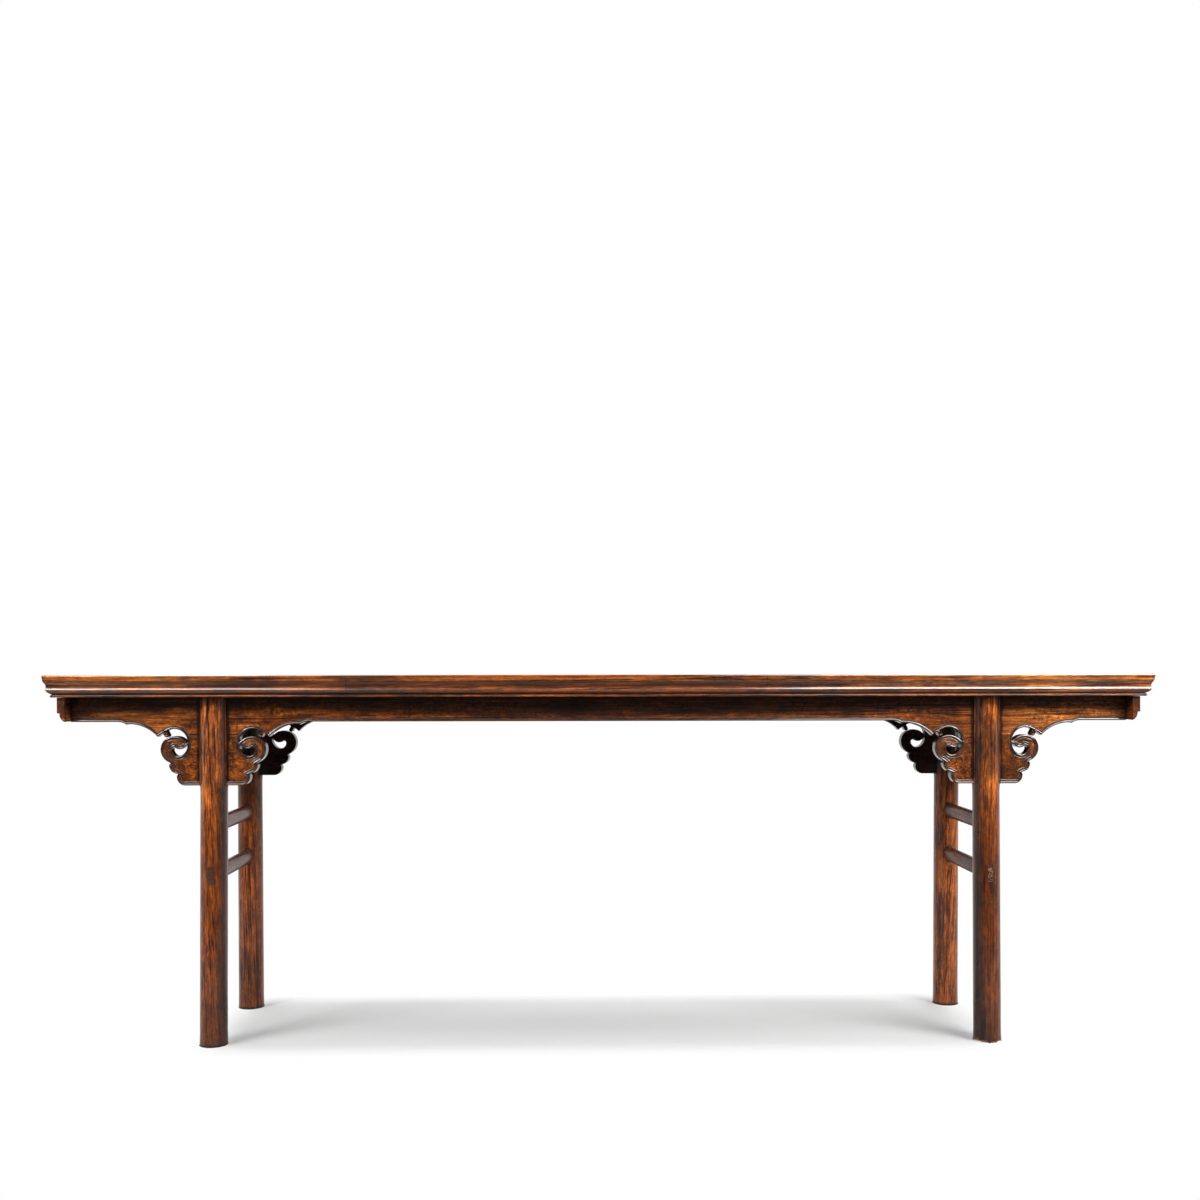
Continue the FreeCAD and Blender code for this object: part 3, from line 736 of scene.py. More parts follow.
@overlay(gain=(2.9, 3.3, 3.1))
def rubbed_and_lit(t, place, parts, facing):
    """Lightens the upper front of a leg: lacquer rubbed thin by hands, and painted light there."""
    patchy = t.ramp(t.noise(place, (30.0, 30.0, 9.0), detail=6.0, rough=0.7), 0.41, 0.54)
    fine = t.ramp(t.noise(place, (260.0, 260.0, 30.0), detail=4.0), 0.40, 0.60, 0.3, 1.0)
    front = t.ramp(facing["Y"], -0.9, -0.4, 1.0, 0.0)
    return t.times(t.times(t.ramp(parts["Z"], 0.46, 0.62), front), t.times(patchy, fine))


@overlay("streak_and_shade")
def cove_shade(t, place, parts, facing, most):
    """Paints shade into the hollow of the moulding, least towards the right end."""
    above = t.ramp(parts["Z"], COVE_LOW, COVE_LOW + 3 * MM)
    shade_below = t.ramp(parts["Z"], COVE_HIGH - 5 * MM, COVE_HIGH, 1.0, 0.0)
    ragged = t.ramp(t.noise(place, (5.0, 90.0), detail=5.0), 0.35, 0.6, 0.45, 1.0)
    along = t.ramp(parts["X"], 0.3, 0.9, most, 0.3 * most)
    return t.times(t.times(t.times(above, shade_below), ragged), along)


@overlay(gain=(2.2, 2.9, 4.2))
def bleached_and_lit(t, place, parts, facing, start, right, left):
    """Lightens a front towards its right and its left end: worn lacquer and painted light and
    sheen.
    """
    patchy = t.noise(place, (6.0, 110.0), detail=6.0, rough=0.7)
    patchy = t.ramp(patchy, 0.42, 0.58, 0.15, 1.0)
    at_right = t.ramp(parts["X"], start, 1.1, 0.0, right)
    at_left = t.ramp(parts["X"], -1.2, -0.75, left, 0.0)
    return t.times(patchy, t.plus(at_left, at_right))


@overlay(gain=(0.58, 0.56, 0.6))
def shaded_top_face(t, place, parts, facing):
    """Darkens the upward faces as painted shade, toning down the top under the overhead lamps."""
    return t.ramp(facing["Z"], 0.5, 0.9)


@overlay()
def darker_towards_foot(t, place, parts, facing, most):
    """Darkens a leg towards the floor, with a painted contact shadow at the very foot."""
    ragged = t.noise(place, (40.0, 40.0, 5.0), detail=5.0)
    level = t.plus(parts["Z"], t.times(t.minus(ragged, 0.5), 0.3))
    contact_shadow = t.ramp(parts["Z"], 2 * MM, 8 * MM, 0.9, 0.0)
    return t.larger(t.ramp(level, 0.02, 0.42, most, 0.0), contact_shadow)


@overlay(gain=(1.7, 1.95, 2.6))
def dried_out(t, place, parts, facing, most):
    """Pales a leg that has had less wax than the others."""
    dry = t.noise(place, (40.0, 40.0, 4.0), detail=5.0)
    return t.ramp(dry, 0.38, 0.56, 0.6 * most, most)


@overlay()
def inner_side_shade(t, place, parts, facing, towards, most):
    """Paints shade onto the side of a leg that faces the middle of the table."""
    ragged = t.times(t.noise(place, (25.0, 25.0, 5.0), detail=4.0), 0.5)
    return t.ramp(t.plus(t.times(facing["X"], towards), ragged), 0.55, 1.1, 0.0, most)


@overlay()
def shade_behind_apron(t, place, parts, facing, side):
    """Paints shade onto the upper inner part of a leg, behind the apron and under the top."""
    inner = t.ramp(t.times(facing["Y"], -side), -0.35, 0.25)
    return t.times(t.times(t.ramp(parts["Z"], 0.60, 0.65), inner), 0.94)


def dull_material(name, specular, paint):
    """A dull material; paint gives its colour, its roughness, its bumps and their strength."""
    material, t, shader = new_material(name)
    shader.inputs["Specular IOR Level"].default_value = specular
    colour, rough, height, strength = paint(t, t.object_place(), bpy.context.scene.altar_table_wood)
    bump = t.add("ShaderNodeBump", {"Height": height, "Strength": strength, "Distance": FINE_BUMP})
    t.give(colour, shader.inputs["Base Color"])
    t.give(rough, shader.inputs["Roughness"])
    t.give(bump.outputs["Normal"], shader.inputs["Normal"])
    return material


def dark_dirt_and_shade(name):
    """Near-black dirt and painted shade in grooves and holes, broken where it has been rubbed out.
    """

    def paint(t, place, colours):
        patches = t.noise(place, 60.0, detail=4.0)
        colour = t.blend(t.ramp(patches, 0.52, 0.7), colours.grime_and_shade, colours.walnut)
        return colour, t.ramp(patches, 0.3, 0.7, 0.75, 0.5), t.noise(place, 900.0), 0.7

    return dull_material(name, 0.25, paint)


def end_grain(name, tone, fineness=420.0, dark_from=0.35):
    """Dark open end grain: fine rings and pores, dull."""

    def paint(t, place, colours):
        rings = t.noise(place, fineness, detail=4.0, distortion=1.2)
        pores = t.ramp(t.noise(place, 1600.0, detail=2.0), 0.55, 0.68)
        dark = t.ramp(rings, dark_from, dark_from + 0.3)
        colour = t.blend(dark, getattr(colours, tone), colours.streak_and_shade)
        colour = t.blend(t.times(pores, 0.7), colour, colours.grime_and_shade)
        return colour, t.ramp(rings, 0.2, 0.8, 0.45, 0.7), t.minus(rings, pores), 0.6

    return dull_material(name, 0.1, paint)


# ---------------------------------------------------------------- pieces

# How blunt a corner of the outline counts at least, how much thicker a bead may get there, and
# how much thinner chance may make it.
BLUNTEST, THICKEST, UNEVEN = 0.62, 1.25, 0.08


def outline_runs(piece, side, plane, keep):
    """Finds a carved face's outline as ordered runs of point, way inwards and reach at a corner."""
    mesh = bmesh.new()
    mesh.from_mesh(piece.data)
    onward, inward = {}, {}
    for edge in mesh.edges:
        if len(edge.link_faces) != 2 or any(abs(v.co.y - plane) > WELD for v in edge.verts):
            continue
        normals = sorted((f.normal.copy() for f in edge.link_faces), key=lambda n: n.y * side)
        if normals[1].y * side < 0.99 or abs(normals[0].y) > 0.2:
            continue
        if not keep((edge.verts[0].co + edge.verts[1].co) / 2):
            continue
        for a, b in (edge.verts, reversed(edge.verts)):
            onward.setdefault(a.index, []).append(b.index)
            inward.setdefault(a.index, []).append(-normals[0])
    places = {v.index: v.co.copy() for v in mesh.verts}
    mesh.free()

    def seat(index):
        way = sum(inward[index], Vector()).normalized()
        return places[index], way, 1 / max(BLUNTEST, min(way.dot(n) for n in inward[index]))

    runs, used = [], set()
    starts = [i for i in onward if len(onward[i]) == 1] + list(onward)
    for start in starts:
        for following in onward[start]:
            if frozenset((start, following)) in used:
                continue
            run, here, ahead = [start], start, following
            while ahead is not None:
                used.add(frozenset((here, ahead)))
                run.append(ahead)
                left = (n for n in onward[ahead] if frozenset((ahead, n)) not in used)
                here, ahead = ahead, next(left, None)
            runs.append([seat(i) for i in run])
    return runs


def clear_of(place, sides, distance):
    """True where a point keeps at least this distance from every side of the outline."""
    for a, along, square in sides:
        share = min(max((place - a).dot(along) / square, 0.0), 1.0)
        if (a + along * share - place).length < distance:
            return False
    return True


def bead(runs, name, side, inset, radius, depth, clearance=0.0):
    """Lays a round bead along an outline, at an inset from it and a depth behind the face."""
    shape = bpy.context.scene.altar_table_shape
    chance = random.Random(name)
    line = bpy.data.curves.new(name, "CURVE")
    line.dimensions = "3D"
    line.bevel_depth = radius
    line.bevel_resolution = 3
    line.use_fill_caps = True
    line.twist_mode = "Z_UP"
    sides = []
    for outline in runs:
        for (a, _, _), (b, _, _) in zip(outline, outline[1:]):
            if (b - a).length > WELD:
                sides.append((a, b - a, (b - a).length_squared))
    for outline in runs:
        run = [(place + way * inset * reach, min(reach, THICKEST)) for place, way, reach in outline]
        points = [run[0]]
        for (a, ra), (b, rb) in zip(run, run[1:]):
            steps = max(1, math.ceil((b - a).length / shape.bead_step))
            for i in range(1, steps + 1):
                points.append((a.lerp(b, i / steps), ra + (rb - ra) * (i == steps)))
        closed = (points[0][0] - points[-1][0]).length < WELD
        if closed:
            points.pop()
        parts = [points]
        if clearance:
            parts = [[]]
            for point in points:
                if clear_of(point[0], sides, clearance):
                    parts[-1].append(point)
                elif parts[-1]:
                    parts.append([])
            if closed and len(parts) > 1 and parts[-1] and parts[0]:
                parts[0] = parts.pop() + parts[0]
        for part in parts:
            if len(part) < 3:
                continue
            spline = line.splines.new("POLY")
            spline.points.add(len(part) - 1)
            for slot, (co, thickness) in zip(spline.points, part):
                slot.co = (co.x, co.y - side * depth, co.z, 1.0)
                slot.radius = thickness * (1 - UNEVEN * chance.random())
            spline.use_cyclic_u = closed and len(parts) == 1
    curve = bpy.data.objects.new(name, line)
    bpy.context.scene.collection.objects.link(curve)
    activate(curve)
    bpy.ops.object.convert(target="MESH")
    return bpy.context.object


def carved_board(node, side, keep, woods, ridged=False):
    """A board with a sunk field, a bead along its carved edge and, on a spandrel, a fine ridge.

    woods are those of the field, the inner face, the carved walls, the beads and the grooves.
    """
    shape = bpy.context.scene.altar_table_shape
    piece = fresh_copy(node, "carved_" + node)
    low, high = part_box(node)
    plane, inner = (low.y, high.y) if side < 0 else (high.y, low.y)
    runs = outline_runs(piece, side, plane, keep)
    edit(piece, lambda v: abs(v.co.y - plane) < WELD, "VERT")
    bpy.ops.transform.translate(value=(0, -side * shape.field_depth, 0))
    leave()

    def far_edge(edge):
        sharp = len(edge.link_faces) == 2 and edge.calc_face_angle(0) > 1
        return sharp and all(abs(v.co.y - inner) < WELD for v in edge.verts)

    edit(piece, far_edge, "EDGE")
    bpy.ops.mesh.bevel(offset=shape.arris, segments=2, affect="EDGES", clamp_overlap=True)
    leave()
    field, inside, wall, shiny, dark_groove = woods
    for material in (field, inside, wall):
        piece.data.materials.append(material)
    for face in piece.data.polygons:
        behind = abs(face.center.y - inner) < 0.9 * MM
        face.material_index = 1 if behind else 2 if abs(face.normal.y) < 0.5 else 0
    half, groove, depth = shape.bead_radius, shape.groove_radius, shape.field_depth
    # Each strip's name, inset, half width, depth and clearance in half widths of the bead.
    strips = [
        # The groove is a sunk strip of near-black dirt and painted shade.
        ("groove_", 2 * half + 0.5 * groove, groove, depth + 0.75 * groove, 1.9, dark_groove),
        ("ridge_", 2 * half + 1.5 * groove, 0.6 * groove, depth + 0.2 * groove, 2.3, shiny),
        ("bead_", half, half, depth, 0.0, shiny),
    ]
    made = []
    for name, inset, radius, sunk, clearance, material in strips:
        if ridged or name != "ridge_":
            strip = bead(runs, name + node, side, inset, radius, sunk, clearance * half)
            strip.data.materials.append(material)
            made.append(strip)
    activate(piece)
    for strip in made:
        strip.select_set(True)
    bpy.ops.object.join()
    edit(piece)
    bpy.ops.mesh.normals_make_consistent(inside=False)
    leave()
    finish_shading(piece)
    return piece


# How far up each rail the small bead reaches, and how thick the waxed top face counts.
SMALL_BEAD = 7.2 * MM
TOP_SKIN = 1.5 * MM


class ALTARTABLE_OT_top_frame(Operator):
    """Builds the four moulded rails of the top"""

    bl_idname = "altar_table.top_frame"
    bl_label = "Top frame"

    def execute(self, context):
        for seed, where in enumerate((*ROWS, *ENDS)):
            grain = "X" if where in ROWS else "Y"
            node = where + "_top_rail"
            piece = self.moulded(node, where, grain)

            log = ("amber", "chestnut", grain, 11 + seed)

            def rail_wood(name, **gloss):
                finish = wood(name + where, *log, **LIP, **gloss)
                # Painted shade on the top face and in the cove.
                shaded_top_face(finish)
                cove_shade(finish, most=0.75)
                # The front rail also gets worn lacquer and painted light at its ends.
                if where == "front":
                    bleached_and_lit(finish, start=0.1, right=1.0, left=0.75)
                    crack(finish)
                return finish

            lip = rail_wood("frame_wood_")
            waxed = rail_wood("frame_top_wood_", **WAXED)
            dull = wood("bead_wood_" + where, *log, **FRAME, rub=0.5, coat=0.25)
            low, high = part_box(node)
            for face in piece.data.polygons:
                upper = face.center.z > high.z - TOP_SKIN and face.normal.z > 0.99
                face.material_index = 2 if upper else int(face.center.z < low.z + SMALL_BEAD)
            settle(piece, node, "top_frame", lip, dull, waxed)
        return {"FINISHED"}

    @staticmethod
    def moulded(node, where, grain):
        """One rail with its rounded rim, softened and worn."""
        shape = bpy.context.scene.altar_table_shape
        piece = fresh_copy(node, "moulded_" + node)
        axis = 1 if grain == "X" else 0
        low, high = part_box(node)
        rim = low[axis] if where in ("front", "left") else high[axis]

        def top_rim(edge):
            return all(high.z - v.co.z < WELD and abs(v.co[axis] - rim) < WELD for v in edge.verts)

        edit(piece, top_rim, "EDGE")
        bpy.ops.mesh.bevel(offset=shape.rim, segments=4, affect="EDGES")
        leave()
        soften(piece, shape.arris)
        cut_rows(piece, "XYZ".index(grain), shape.row_pitch)
        wear_down(piece, shape.wear)
        finish_shading(piece)
        return piece


class ALTARTABLE_OT_panel(Operator):
    """Builds the two panel boards and the battens below them"""

    bl_idname = "altar_table.panel"
    bl_label = "Panel and battens"

    def execute(self, context):
        shape = context.scene.altar_table_shape
        for seed, where in enumerate(ROWS):
            node = where + "_panel_board"
            piece = fresh_copy(node, "worn_" + node)
            soften(piece, shape.joint_gap)
            cut_rows(piece, 0, 2 * shape.row_pitch)
            cut_rows(piece, 1, shape.row_pitch)
            wear_down(piece, shape.wear, 0.2)
            finish_shading(piece)
            finish = wood("panel_wood_" + where, "honey", "walnut", "X", 21 + seed, **PANEL)
            # Painted shade darkens the top face of the board.
            shaded_top_face(finish)
            settle(piece, node, "panel", finish)
        for number in range(1, 6):
            node = f"top_batten_{number}"
            piece = fresh_copy(node, "sawn_" + node)
            soften(piece, shape.arris)
            finish_shading(piece)
            name = f"batten_wood_{number}"
            finish = wood(name, "walnut", "mahogany", "Y", 30 + number, streaks=0.6)
            settle(piece, node, "underside", finish)
        return {"FINISHED"}


class ALTARTABLE_OT_aprons(Operator):
    """Builds the carved long aprons and their spandrels"""

    bl_idname = "altar_table.aprons"
    bl_label = "Aprons and spandrels"

    def execute(self, context):
        leg_low, leg_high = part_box("front_right_leg")
        middle = (leg_low.x + leg_high.x) / 2
        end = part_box("right_end_apron")[0].x
        for seed, (row, side) in enumerate(zip(ROWS, (-1, 1))):
            node = row + "_apron"
            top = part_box(row + "_top_rail")[0].z
            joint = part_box(node)[0].z

            def on_apron(place):
                beside = abs(abs(place.x) - middle)
                at_joint = abs(place.z - joint) < 0.01 * MM and beside < JOINT_HALF
                return place.z < top - WELD and abs(place.x) < end - WELD and not at_joint

            finish = wood("apron_wood_" + row, "honey", "walnut", "X", 41 + seed, **APRON)
            speckle(finish)
            bleached_and_lit(finish, start=0.8, right=0.75, left=0.45)
            seam(finish, level=joint, middle=middle)
            beside_leg(finish, middle=middle)
            # Painted shade under the overhang darkens the top of the apron.
            painted_overhang_shade(finish, low=0.776, high=0.808, deeper=0.022, left=0.012)
            # Inner faces and carved walls: partly unpolished dark wood, partly painted shade.
            inside, wall = {"streaks": 0.7, "rub": 0.2}, {"streaks": 1.0, "rub": 0.2}
            shared = (
                wood("apron_inside_" + row, "soot_and_shade_light", "soot_and_shade", "X", 141 + seed, **inside),
                wood("carved_wall_" + row, "walnut", "soot_and_shade", "X", 241 + seed, **wall),
                wood("bead_shine_" + row, "walnut", "mahogany", "X", 41 + seed, coat=0.55),
                dark_dirt_and_shade("groove_dirt_" + row),
            )
            settle(carved_board(node, side, on_apron, (finish, *shared)), node, "apron")
            for number, where in enumerate(ENDS):
                node = f"{row}_{where}_spandrel"
                centre = middle * (-1, 1)[number]

                def on_spandrel(place):
                    at_joint = place.z > joint - 0.05 * MM and abs(place.x - centre) < JOINT_HALF
                    return not at_joint

                name = f"spandrel_wood_{row}_{where}"
                finish = wood(name, "honey", "walnut", "X", 51 + 2 * seed + number, **SPANDREL)
                speckle(finish)
                beside_leg(finish, middle=middle)
                seam(finish, level=joint, middle=middle)
                board = carved_board(node, side, on_spandrel, (finish, *shared), ridged=True)
                settle(board, node, "apron")
        return {"FINISHED"}


class ALTARTABLE_OT_end_aprons(Operator):
    """Builds the end aprons with their stepped, rounded ends"""

    bl_idname = "altar_table.end_aprons"
    bl_label = "End aprons"

    def execute(self, context):
        shape = context.scene.altar_table_shape
        for seed, where in enumerate(ENDS):
            node = where + "_end_apron"
            piece = fresh_copy(node, "shaped_" + node)
            soften(piece, shape.arris)
            cut_rows(piece, 1, shape.row_pitch)
            wear_down(piece, shape.wear, 0.05)
            finish_shading(piece)
            finish = wood("end_apron_wood_" + where, "russet", "mahogany", "Y", 61 + seed, rub=0.9)
            bleached_and_lit(finish, start=0.8, right=0.5, left=0.8)
            # Painted shade under the overhang darkens the top of the end apron.
            painted_overhang_shade(finish, low=0.775, high=0.822, most=0.6)
            settle(piece, node, "apron", finish)
        return {"FINISHED"}


# Faces of a mortise's walls are small, and lie this near to the wedges.
MORTISE_EDGE = 1.5 * MM
SMALL_FACE = 60 * MM * MM


class ALTARTABLE_OT_legs(Operator):
    """Builds the round legs, one of them with a chipped foot"""

    bl_idname = "altar_table.legs"
    bl_label = "Legs"

    def execute(self, context):
        shape = context.scene.altar_table_shape
        for number, (row, where) in enumerate((r, w) for r in ROWS for w in ENDS):
            node = f"{row}_{where}_leg"
            piece = fresh_copy(node, "turned_" + node)
            piece.data.materials.append(None)
            cut_rows(piece, 2, 1.4 * shape.row_pitch)
            soften(piece, shape.arris)
            wear_down(piece, shape.wear, 0.09)
            wear_down(piece, shape.sway, 0.35)
            if node == "front_right_leg":
                foot = [v.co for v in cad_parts[node].data.vertices if v.co.z < WELD]
                centre = sum(foot, Vector()) / len(foot)
                radius = max((co - centre).length for co in foot)
                chip_foot(piece, centre, radius, end_grain("chipped_wood", "raw"))
                peg_hole(piece, dark_dirt_and_shade("peg_hole_dirt_and_shade"))
            finish = self.leg_wood(71 + number, row, where)
            low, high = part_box(where + "_tenon_wedges")
            # The small faces round the mortise take near-black dirt and painted shade.
            piece.data.materials.append(dark_dirt_and_shade(f"mortise_dirt_{row}_{where}"))
            for face in piece.data.polygons:
                place = face.center
                beside = max(low.x - place.x, place.x - high.x, low.z - place.z, place.z - high.z)
                if beside < MORTISE_EDGE and face.area < SMALL_FACE:
                    face.material_index = len(piece.data.materials) - 1
            finish_shading(piece)
            settle(piece, node, "leg", finish)
        return {"FINISHED"}

    @staticmethod
    def leg_wood(seed, row, where):
        """The wood of one leg, with the marks of its place in the table."""
        front = row == "front"
        finish = wood(f"leg_wood_{row}_{where}", "russet", "mahogany", "Z", seed, **LEG)
        # These marks add painted shade, a painted contact shadow and, on front legs, painted light.
        darker_towards_foot(finish, most=0.42 if front else 0.2)
        towards = 1 if where == "left" else -1
        inner_side_shade(finish, towards=towards, most=0.68 if front else 0.3)
        if front:
            rubbed_and_lit(finish)
        else:
            dried_out(finish, most=1.0 if where == "right" else 0.35)
        painted_overhang_shade(finish, low=0.800, high=0.822, most=0.8)
        shade_behind_apron(finish, side=-1 if front else 1)
        return finish


# The through tenons: where they begin along Y, how they have shrunk, and the look of their ends.
TENON_FROM = 0.19
TENON_SHRINK = (0.93, 0.9985, 0.985)
TENON_LOOK = {"left": ("walnut",), "right": ("rubbed", 260.0, 0.23)}


class ALTARTABLE_OT_stretchers(Operator):
    """Builds the oval side stretchers and the wedges of the through tenons"""

    bl_idname = "altar_table.stretchers"
    bl_label = "Side stretchers"

    def execute(self, context):
        shape = context.scene.altar_table_shape
        for number, (where, level) in enumerate((w, u) for w in ENDS for u in ("upper", "lower")):
            node = f"{where}_{level}_stretcher"
            piece = fresh_copy(node, "oval_" + node)
            cut_rows(piece, 1, shape.row_pitch)
            middle = sum((Vector(corner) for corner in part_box(node)), Vector()) / 2
            edit(piece, lambda v: abs(v.co.y) > TENON_FROM, "VERT")
            bpy.ops.transform.resize(value=TENON_SHRINK, center_override=middle)
            leave()
            for face in piece.data.polygons:
                beyond = abs(face.center.y) > TENON_FROM
                face.material_index = int(beyond and abs(face.normal.y) > 0.7)
            name = f"stretcher_wood_{where}_{level}"
            own = {"pith": 0.03, "rub": 0.2, "coat": 0.4 if where == "left" else 0.15}
            finish = wood(name, "walnut", "mahogany", "Y", 81 + number, **own)
            finish_shading(piece)
            end = end_grain(f"tenon_end_{where}_{level}", *TENON_LOOK[where])
            settle(piece, node, "stretcher", finish, end)
        for where in ENDS:
            node = where + "_tenon_wedges"
            piece = fresh_copy(node, "split_" + node)
            finish_shading(piece)
            settle(piece, node, "wedge", end_grain("wedge_end_grain_" + where, "mahogany"))
        return {"FINISHED"}


# ---------------------------------------------------------------- stage

# The table's shade on the floor: half its length and depth, and how far it fades out.
SHADE_HALF_LENGTH, SHADE_HALF_DEPTH, SHADE_FADE = 0.86, 0.18, 0.12


def seen_directly(t):
    """True for the rays that see the background itself: camera, glossy and transmitted ones."""
    path = t.add("ShaderNodeLightPath").outputs
    seen = t.larger(path["Is Camera Ray"], path["Is Glossy Ray"])
    return t.larger(seen, path["Is Transmission Ray"])


def stage_material():
    """The matt paper of the floor and backdrop: white away from the table, shaded below it."""
    studio = bpy.context.scene.altar_table_studio
    material, t, paper = new_material("studio_paper")
    paper.inputs["Base Color"].default_value = studio.floor_colour
    paper.inputs["Roughness"].default_value = 0.9
    paper.inputs["Specular IOR Level"].default_value = 0.1
    dim = t.add("ShaderNodeBsdfDiffuse", {"Color": studio.bounce_colour}).outputs[0]
    white = t.add("ShaderNodeEmission", {"Color": (1.0, 1.0, 1.0, 1.0), "Strength": 1.0}).outputs[0]
    parts = t.parts(t.object_place())
    beside = t.larger(t.minus(t.apart(parts["X"]), SHADE_HALF_LENGTH), 0.0)
    beyond = t.larger(t.minus(t.apart(parts["Y"]), SHADE_HALF_DEPTH), 0.0)
    away = t.add("ShaderNodeCombineXYZ", {"X": beside, "Y": beyond}).outputs[0]
    far = t.add("ShaderNodeVectorMath", {0: away}, operation="LENGTH").outputs["Value"]
    share = t.ramp(far, 0.0, SHADE_FADE, studio.floor_glow, 1.0)
    bright = t.add("ShaderNodeMixShader", {0: share, 1: paper.outputs[0], 2: white}).outputs[0]
    mixed = t.add("ShaderNodeMixShader", {0: seen_directly(t), 1: dim, 2: bright}).outputs[0]
    t.give(mixed, material.node_tree.nodes["Material Output"].inputs["Surface"])
    return material


def studio_air():
    """White where it is seen, dim where it lights, and dark to reflections behind the camera."""
    world = bpy.data.worlds.new("studio_air")
    world.use_nodes = True
    t = Tree(world.node_tree)
    path = t.add("ShaderNodeLightPath").outputs
    way = t.parts(t.add("ShaderNodeTexCoord").outputs["Generated"])
    ahead = t.ramp(way["Y"], -0.8, 0.2, 0.05, 1.0)
    glossy = t.times(t.larger(path["Is Glossy Ray"], path["Is Transmission Ray"]), ahead)
    seen = t.larger(path["Is Camera Ray"], glossy)
    shade = world.node_tree.nodes["Background"]
    shade.inputs["Color"].default_value = (1, 1, 1, 1)
    t.give(t.larger(seen, bpy.context.scene.altar_table_studio.air), shade.inputs["Strength"])
    return world


def soft_light(name, place, target, size, power, diffuse=True):
    """A rectangular light that points at a target; without diffuse light it only adds gloss."""
    deselect()
    bpy.ops.object.light_add(type="AREA", location=place)
    lamp = bpy.context.object
    lamp.name = name
    lamp.data.shape = "RECTANGLE"
    lamp.data.size, lamp.data.size_y = size
    lamp.data.energy = power
    lamp.visible_diffuse = diffuse
    lamp.rotation_euler = (Vector(target) - Vector(place)).to_track_quat("-Z", "Y").to_euler()
    return lamp


# Each lamp's name, place, target, width and height, and power; the gloss panels only add gloss.
LIGHTS = (
    ("left_overhead_box", (-1.5, 0.04, 2.6), (-1.1, 0, 0.6), (1.3, 0.5), 62),
    ("right_overhead_box", (1.4, 0.04, 2.6), (1.1, 0, 0.6), (1.7, 0.5), 78),
    ("left_soft_box", (-3.0, -2.2, 2.4), (-1.0, 0, 0.7), (1.4, 0.8), 122),
    ("right_soft_box", (2.8, -2.2, 2.4), (1.0, 0, 0.7), (1.8, 0.8), 142),
    ("left_gloss_panel", (-2.1, -2.6, 2.5), (-1.0, -0.2, 0.8), (1.6, 1.4), 125),
    ("right_gloss_panel", (2.0, -2.6, 2.5), (0.9, -0.2, 0.8), (2.2, 1.3), 290),
    ("left_top_gloss_panel", (-1.6, -1.2, 3.0), (-1.0, -0.2, 0.8), (1.5, 1.4), 90),
    ("right_top_gloss_panel", (1.5, -1.2, 3.0), (0.9, -0.2, 0.8), (2.0, 1.4), 230),
    ("left_rim_gloss_panel", (-1.2, -0.7, 2.2), (-1.1, -0.24, 0.87), (1.4, 1.4), 60),
    ("right_rim_gloss_panel", (1.2, -0.7, 2.2), (1.1, -0.24, 0.87), (1.6, 1.4), 120),
    ("left_side_box", (-3.4, 0.3, 1.3), (0, 0, 0.6), (1.2, 1.6), 22),
    ("right_side_box", (3.4, 0.3, 1.3), (0, 0, 0.6), (1.2, 1.6), 22),
)


# The floor's width, depth and middle; how far behind it and how high the backdrop stands, and
# the radius of the bend between them; and how near a corner lies to an edge that it counts to.
FLOOR_WIDTH, FLOOR_DEPTH, FLOOR_MIDDLE = 30, 5.3, 1.35
BACKDROP_RUN, BACKDROP_HEIGHT, BACKDROP_BEND = 2, 9, 1.8
NEAR = 0.1

# How the photo's camera is turned, in radians, and its sideways place and upward shift.
YAW, PITCH, ROLL = -0.016575, 0.004353, -0.001415
CAMERA_X = -0.0553
CAMERA_SHIFT = 84.28 / 1200


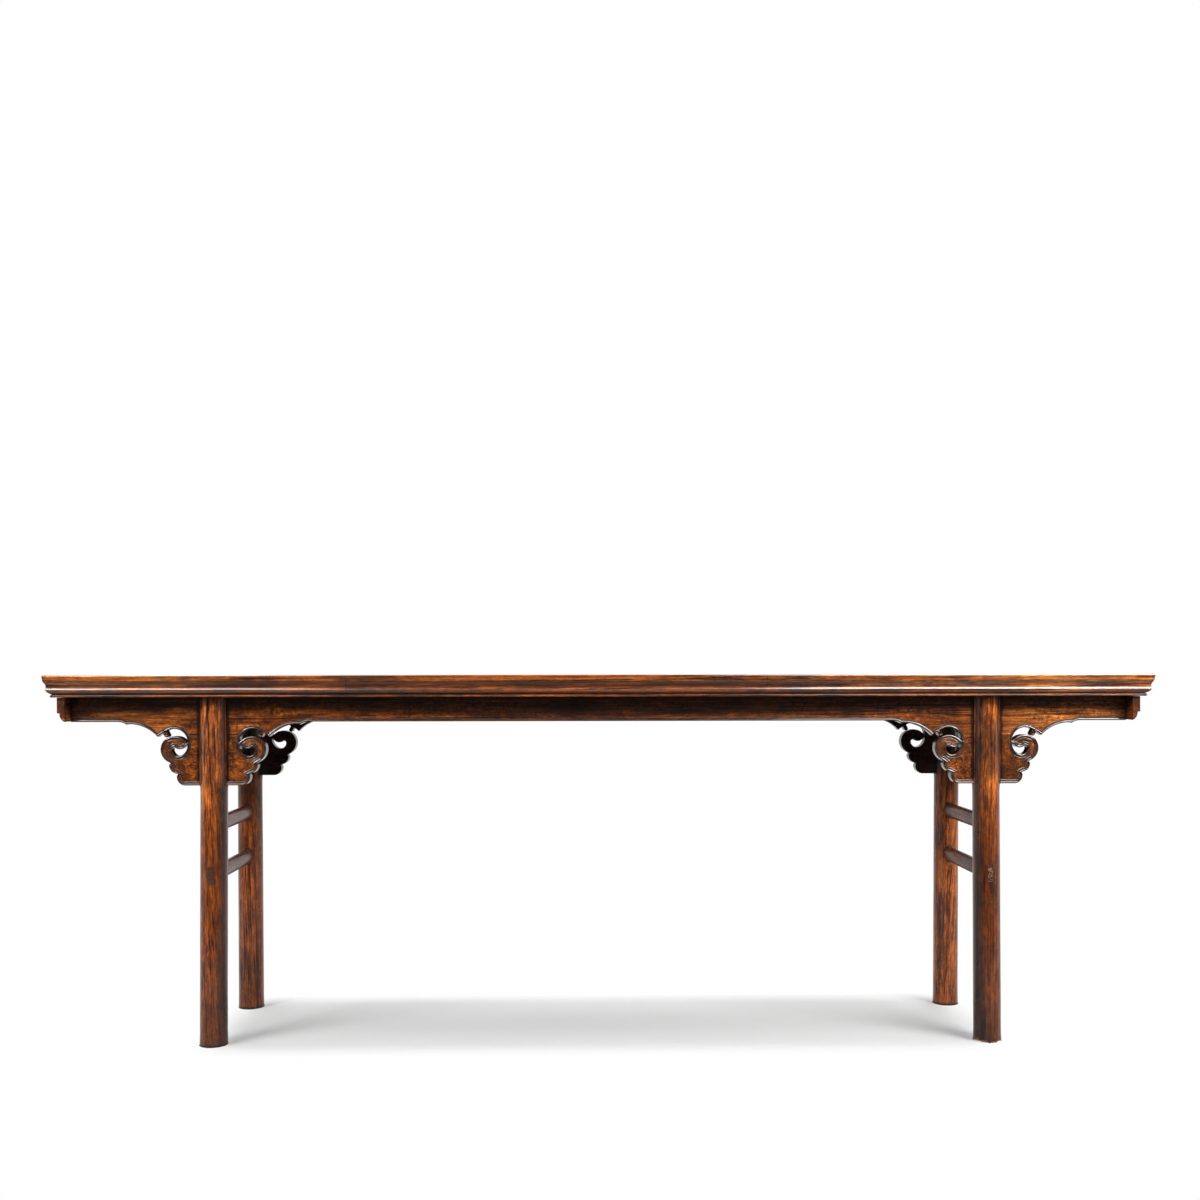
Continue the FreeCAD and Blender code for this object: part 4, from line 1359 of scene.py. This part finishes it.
class ALTARTABLE_OT_stage(Operator):
    """Builds the floor, the backdrop, the soft studio light and the camera"""

    bl_idname = "altar_table.stage"
    bl_label = "Studio"

    def execute(self, context):
        studio = context.scene.altar_table_studio
        deselect()
        bpy.ops.mesh.primitive_plane_add(size=1, location=(0, 0, 0))
        floor = context.object
        floor.name = "studio_floor"
        edit(floor)
        bpy.ops.transform.resize(value=(FLOOR_WIDTH, FLOOR_DEPTH, 1))
        bpy.ops.transform.translate(value=(0, FLOOR_MIDDLE, 0))
        leave()
        back = FLOOR_MIDDLE + FLOOR_DEPTH / 2
        foot = back + BACKDROP_RUN
        edit(floor, lambda e: all(v.co.y > back - NEAR for v in e.verts), "EDGE")
        for way in ((0, BACKDROP_RUN, 0), (0, 0, BACKDROP_HEIGHT)):
            bpy.ops.mesh.extrude_region_move(TRANSFORM_OT_translate={"value": way})
        leave()
        edit(floor, lambda e: all(v.co.y > foot - NEAR and v.co.z < NEAR for v in e.verts), "EDGE")
        bpy.ops.mesh.bevel(offset=BACKDROP_BEND, segments=16, affect="EDGES")
        leave()
        activate(floor)
        bpy.ops.object.shade_smooth()
        floor.data.materials.append(stage_material())

        for name, place, target, size, power in LIGHTS:
            soft_light(name, place, target, size, power, "gloss" not in name)
        context.scene.world = studio_air()

        deselect()
        bpy.ops.object.camera_add(location=(CAMERA_X, -studio.distance, studio.eye_height))
        camera = context.object
        camera.name = "studio_camera"
        camera.data.sensor_width = 36
        camera.data.lens = studio.focal
        camera.data.shift_y = CAMERA_SHIFT
        right = Vector((math.cos(YAW), math.sin(YAW), 0))
        level = Vector((-math.sin(YAW), math.cos(YAW), 0))
        ahead = level * math.cos(PITCH) - Vector((0, 0, math.sin(PITCH)))
        up = level * math.sin(PITCH) + Vector((0, 0, math.cos(PITCH)))
        across = right * math.cos(ROLL) + up * math.sin(ROLL)
        above = up * math.cos(ROLL) - right * math.sin(ROLL)
        turn = Matrix((across, above, -ahead)).transposed().to_4x4()
        camera.matrix_world = Matrix.Translation(camera.location) @ turn
        context.scene.camera = camera
        context.scene.view_settings.view_transform = "Standard"
        return {"FINISHED"}


class ALTARTABLE_PT_builder(Panel):
    """Lists the pieces of the table and their settings"""

    bl_idname = "ALTARTABLE_PT_builder"
    bl_label = "Altar Table"
    bl_space_type = "VIEW_3D"
    bl_region_type = "UI"
    bl_category = "Altar Table"

    def draw(self, context):
        layout = self.layout
        for operator in OPERATORS:
            layout.operator(operator.bl_idname)
        for setting in SETTINGS:
            group = getattr(context.scene, setting)
            box = layout.box()
            for name in group.bl_rna.properties.keys():
                if name not in ("rna_type", "name"):
                    box.prop(group, name)


SETTINGS = {
    "altar_table_shape": AltarTableShape,
    "altar_table_wood": AltarTableWood,
    "altar_table_studio": AltarTableStudio,
}
OPERATORS = (
    ALTARTABLE_OT_top_frame,
    ALTARTABLE_OT_panel,
    ALTARTABLE_OT_aprons,
    ALTARTABLE_OT_end_aprons,
    ALTARTABLE_OT_legs,
    ALTARTABLE_OT_stretchers,
    ALTARTABLE_OT_stage,
)
CLASSES = (*SETTINGS.values(), *OPERATORS, ALTARTABLE_PT_builder)


def register():
    for item in CLASSES:
        bpy.utils.register_class(item)
    for setting, group in SETTINGS.items():
        setattr(bpy.types.Scene, setting, PointerProperty(type=group))


def unregister():
    for setting in SETTINGS:
        delattr(bpy.types.Scene, setting)
    for item in reversed(CLASSES):
        bpy.utils.unregister_class(item)


def main():
    """Builds every piece and the stage."""
    register()
    for operator in OPERATORS:
        getattr(bpy.ops.altar_table, operator.bl_idname.split(".")[1])()


if __name__ == "__main__":
    main()
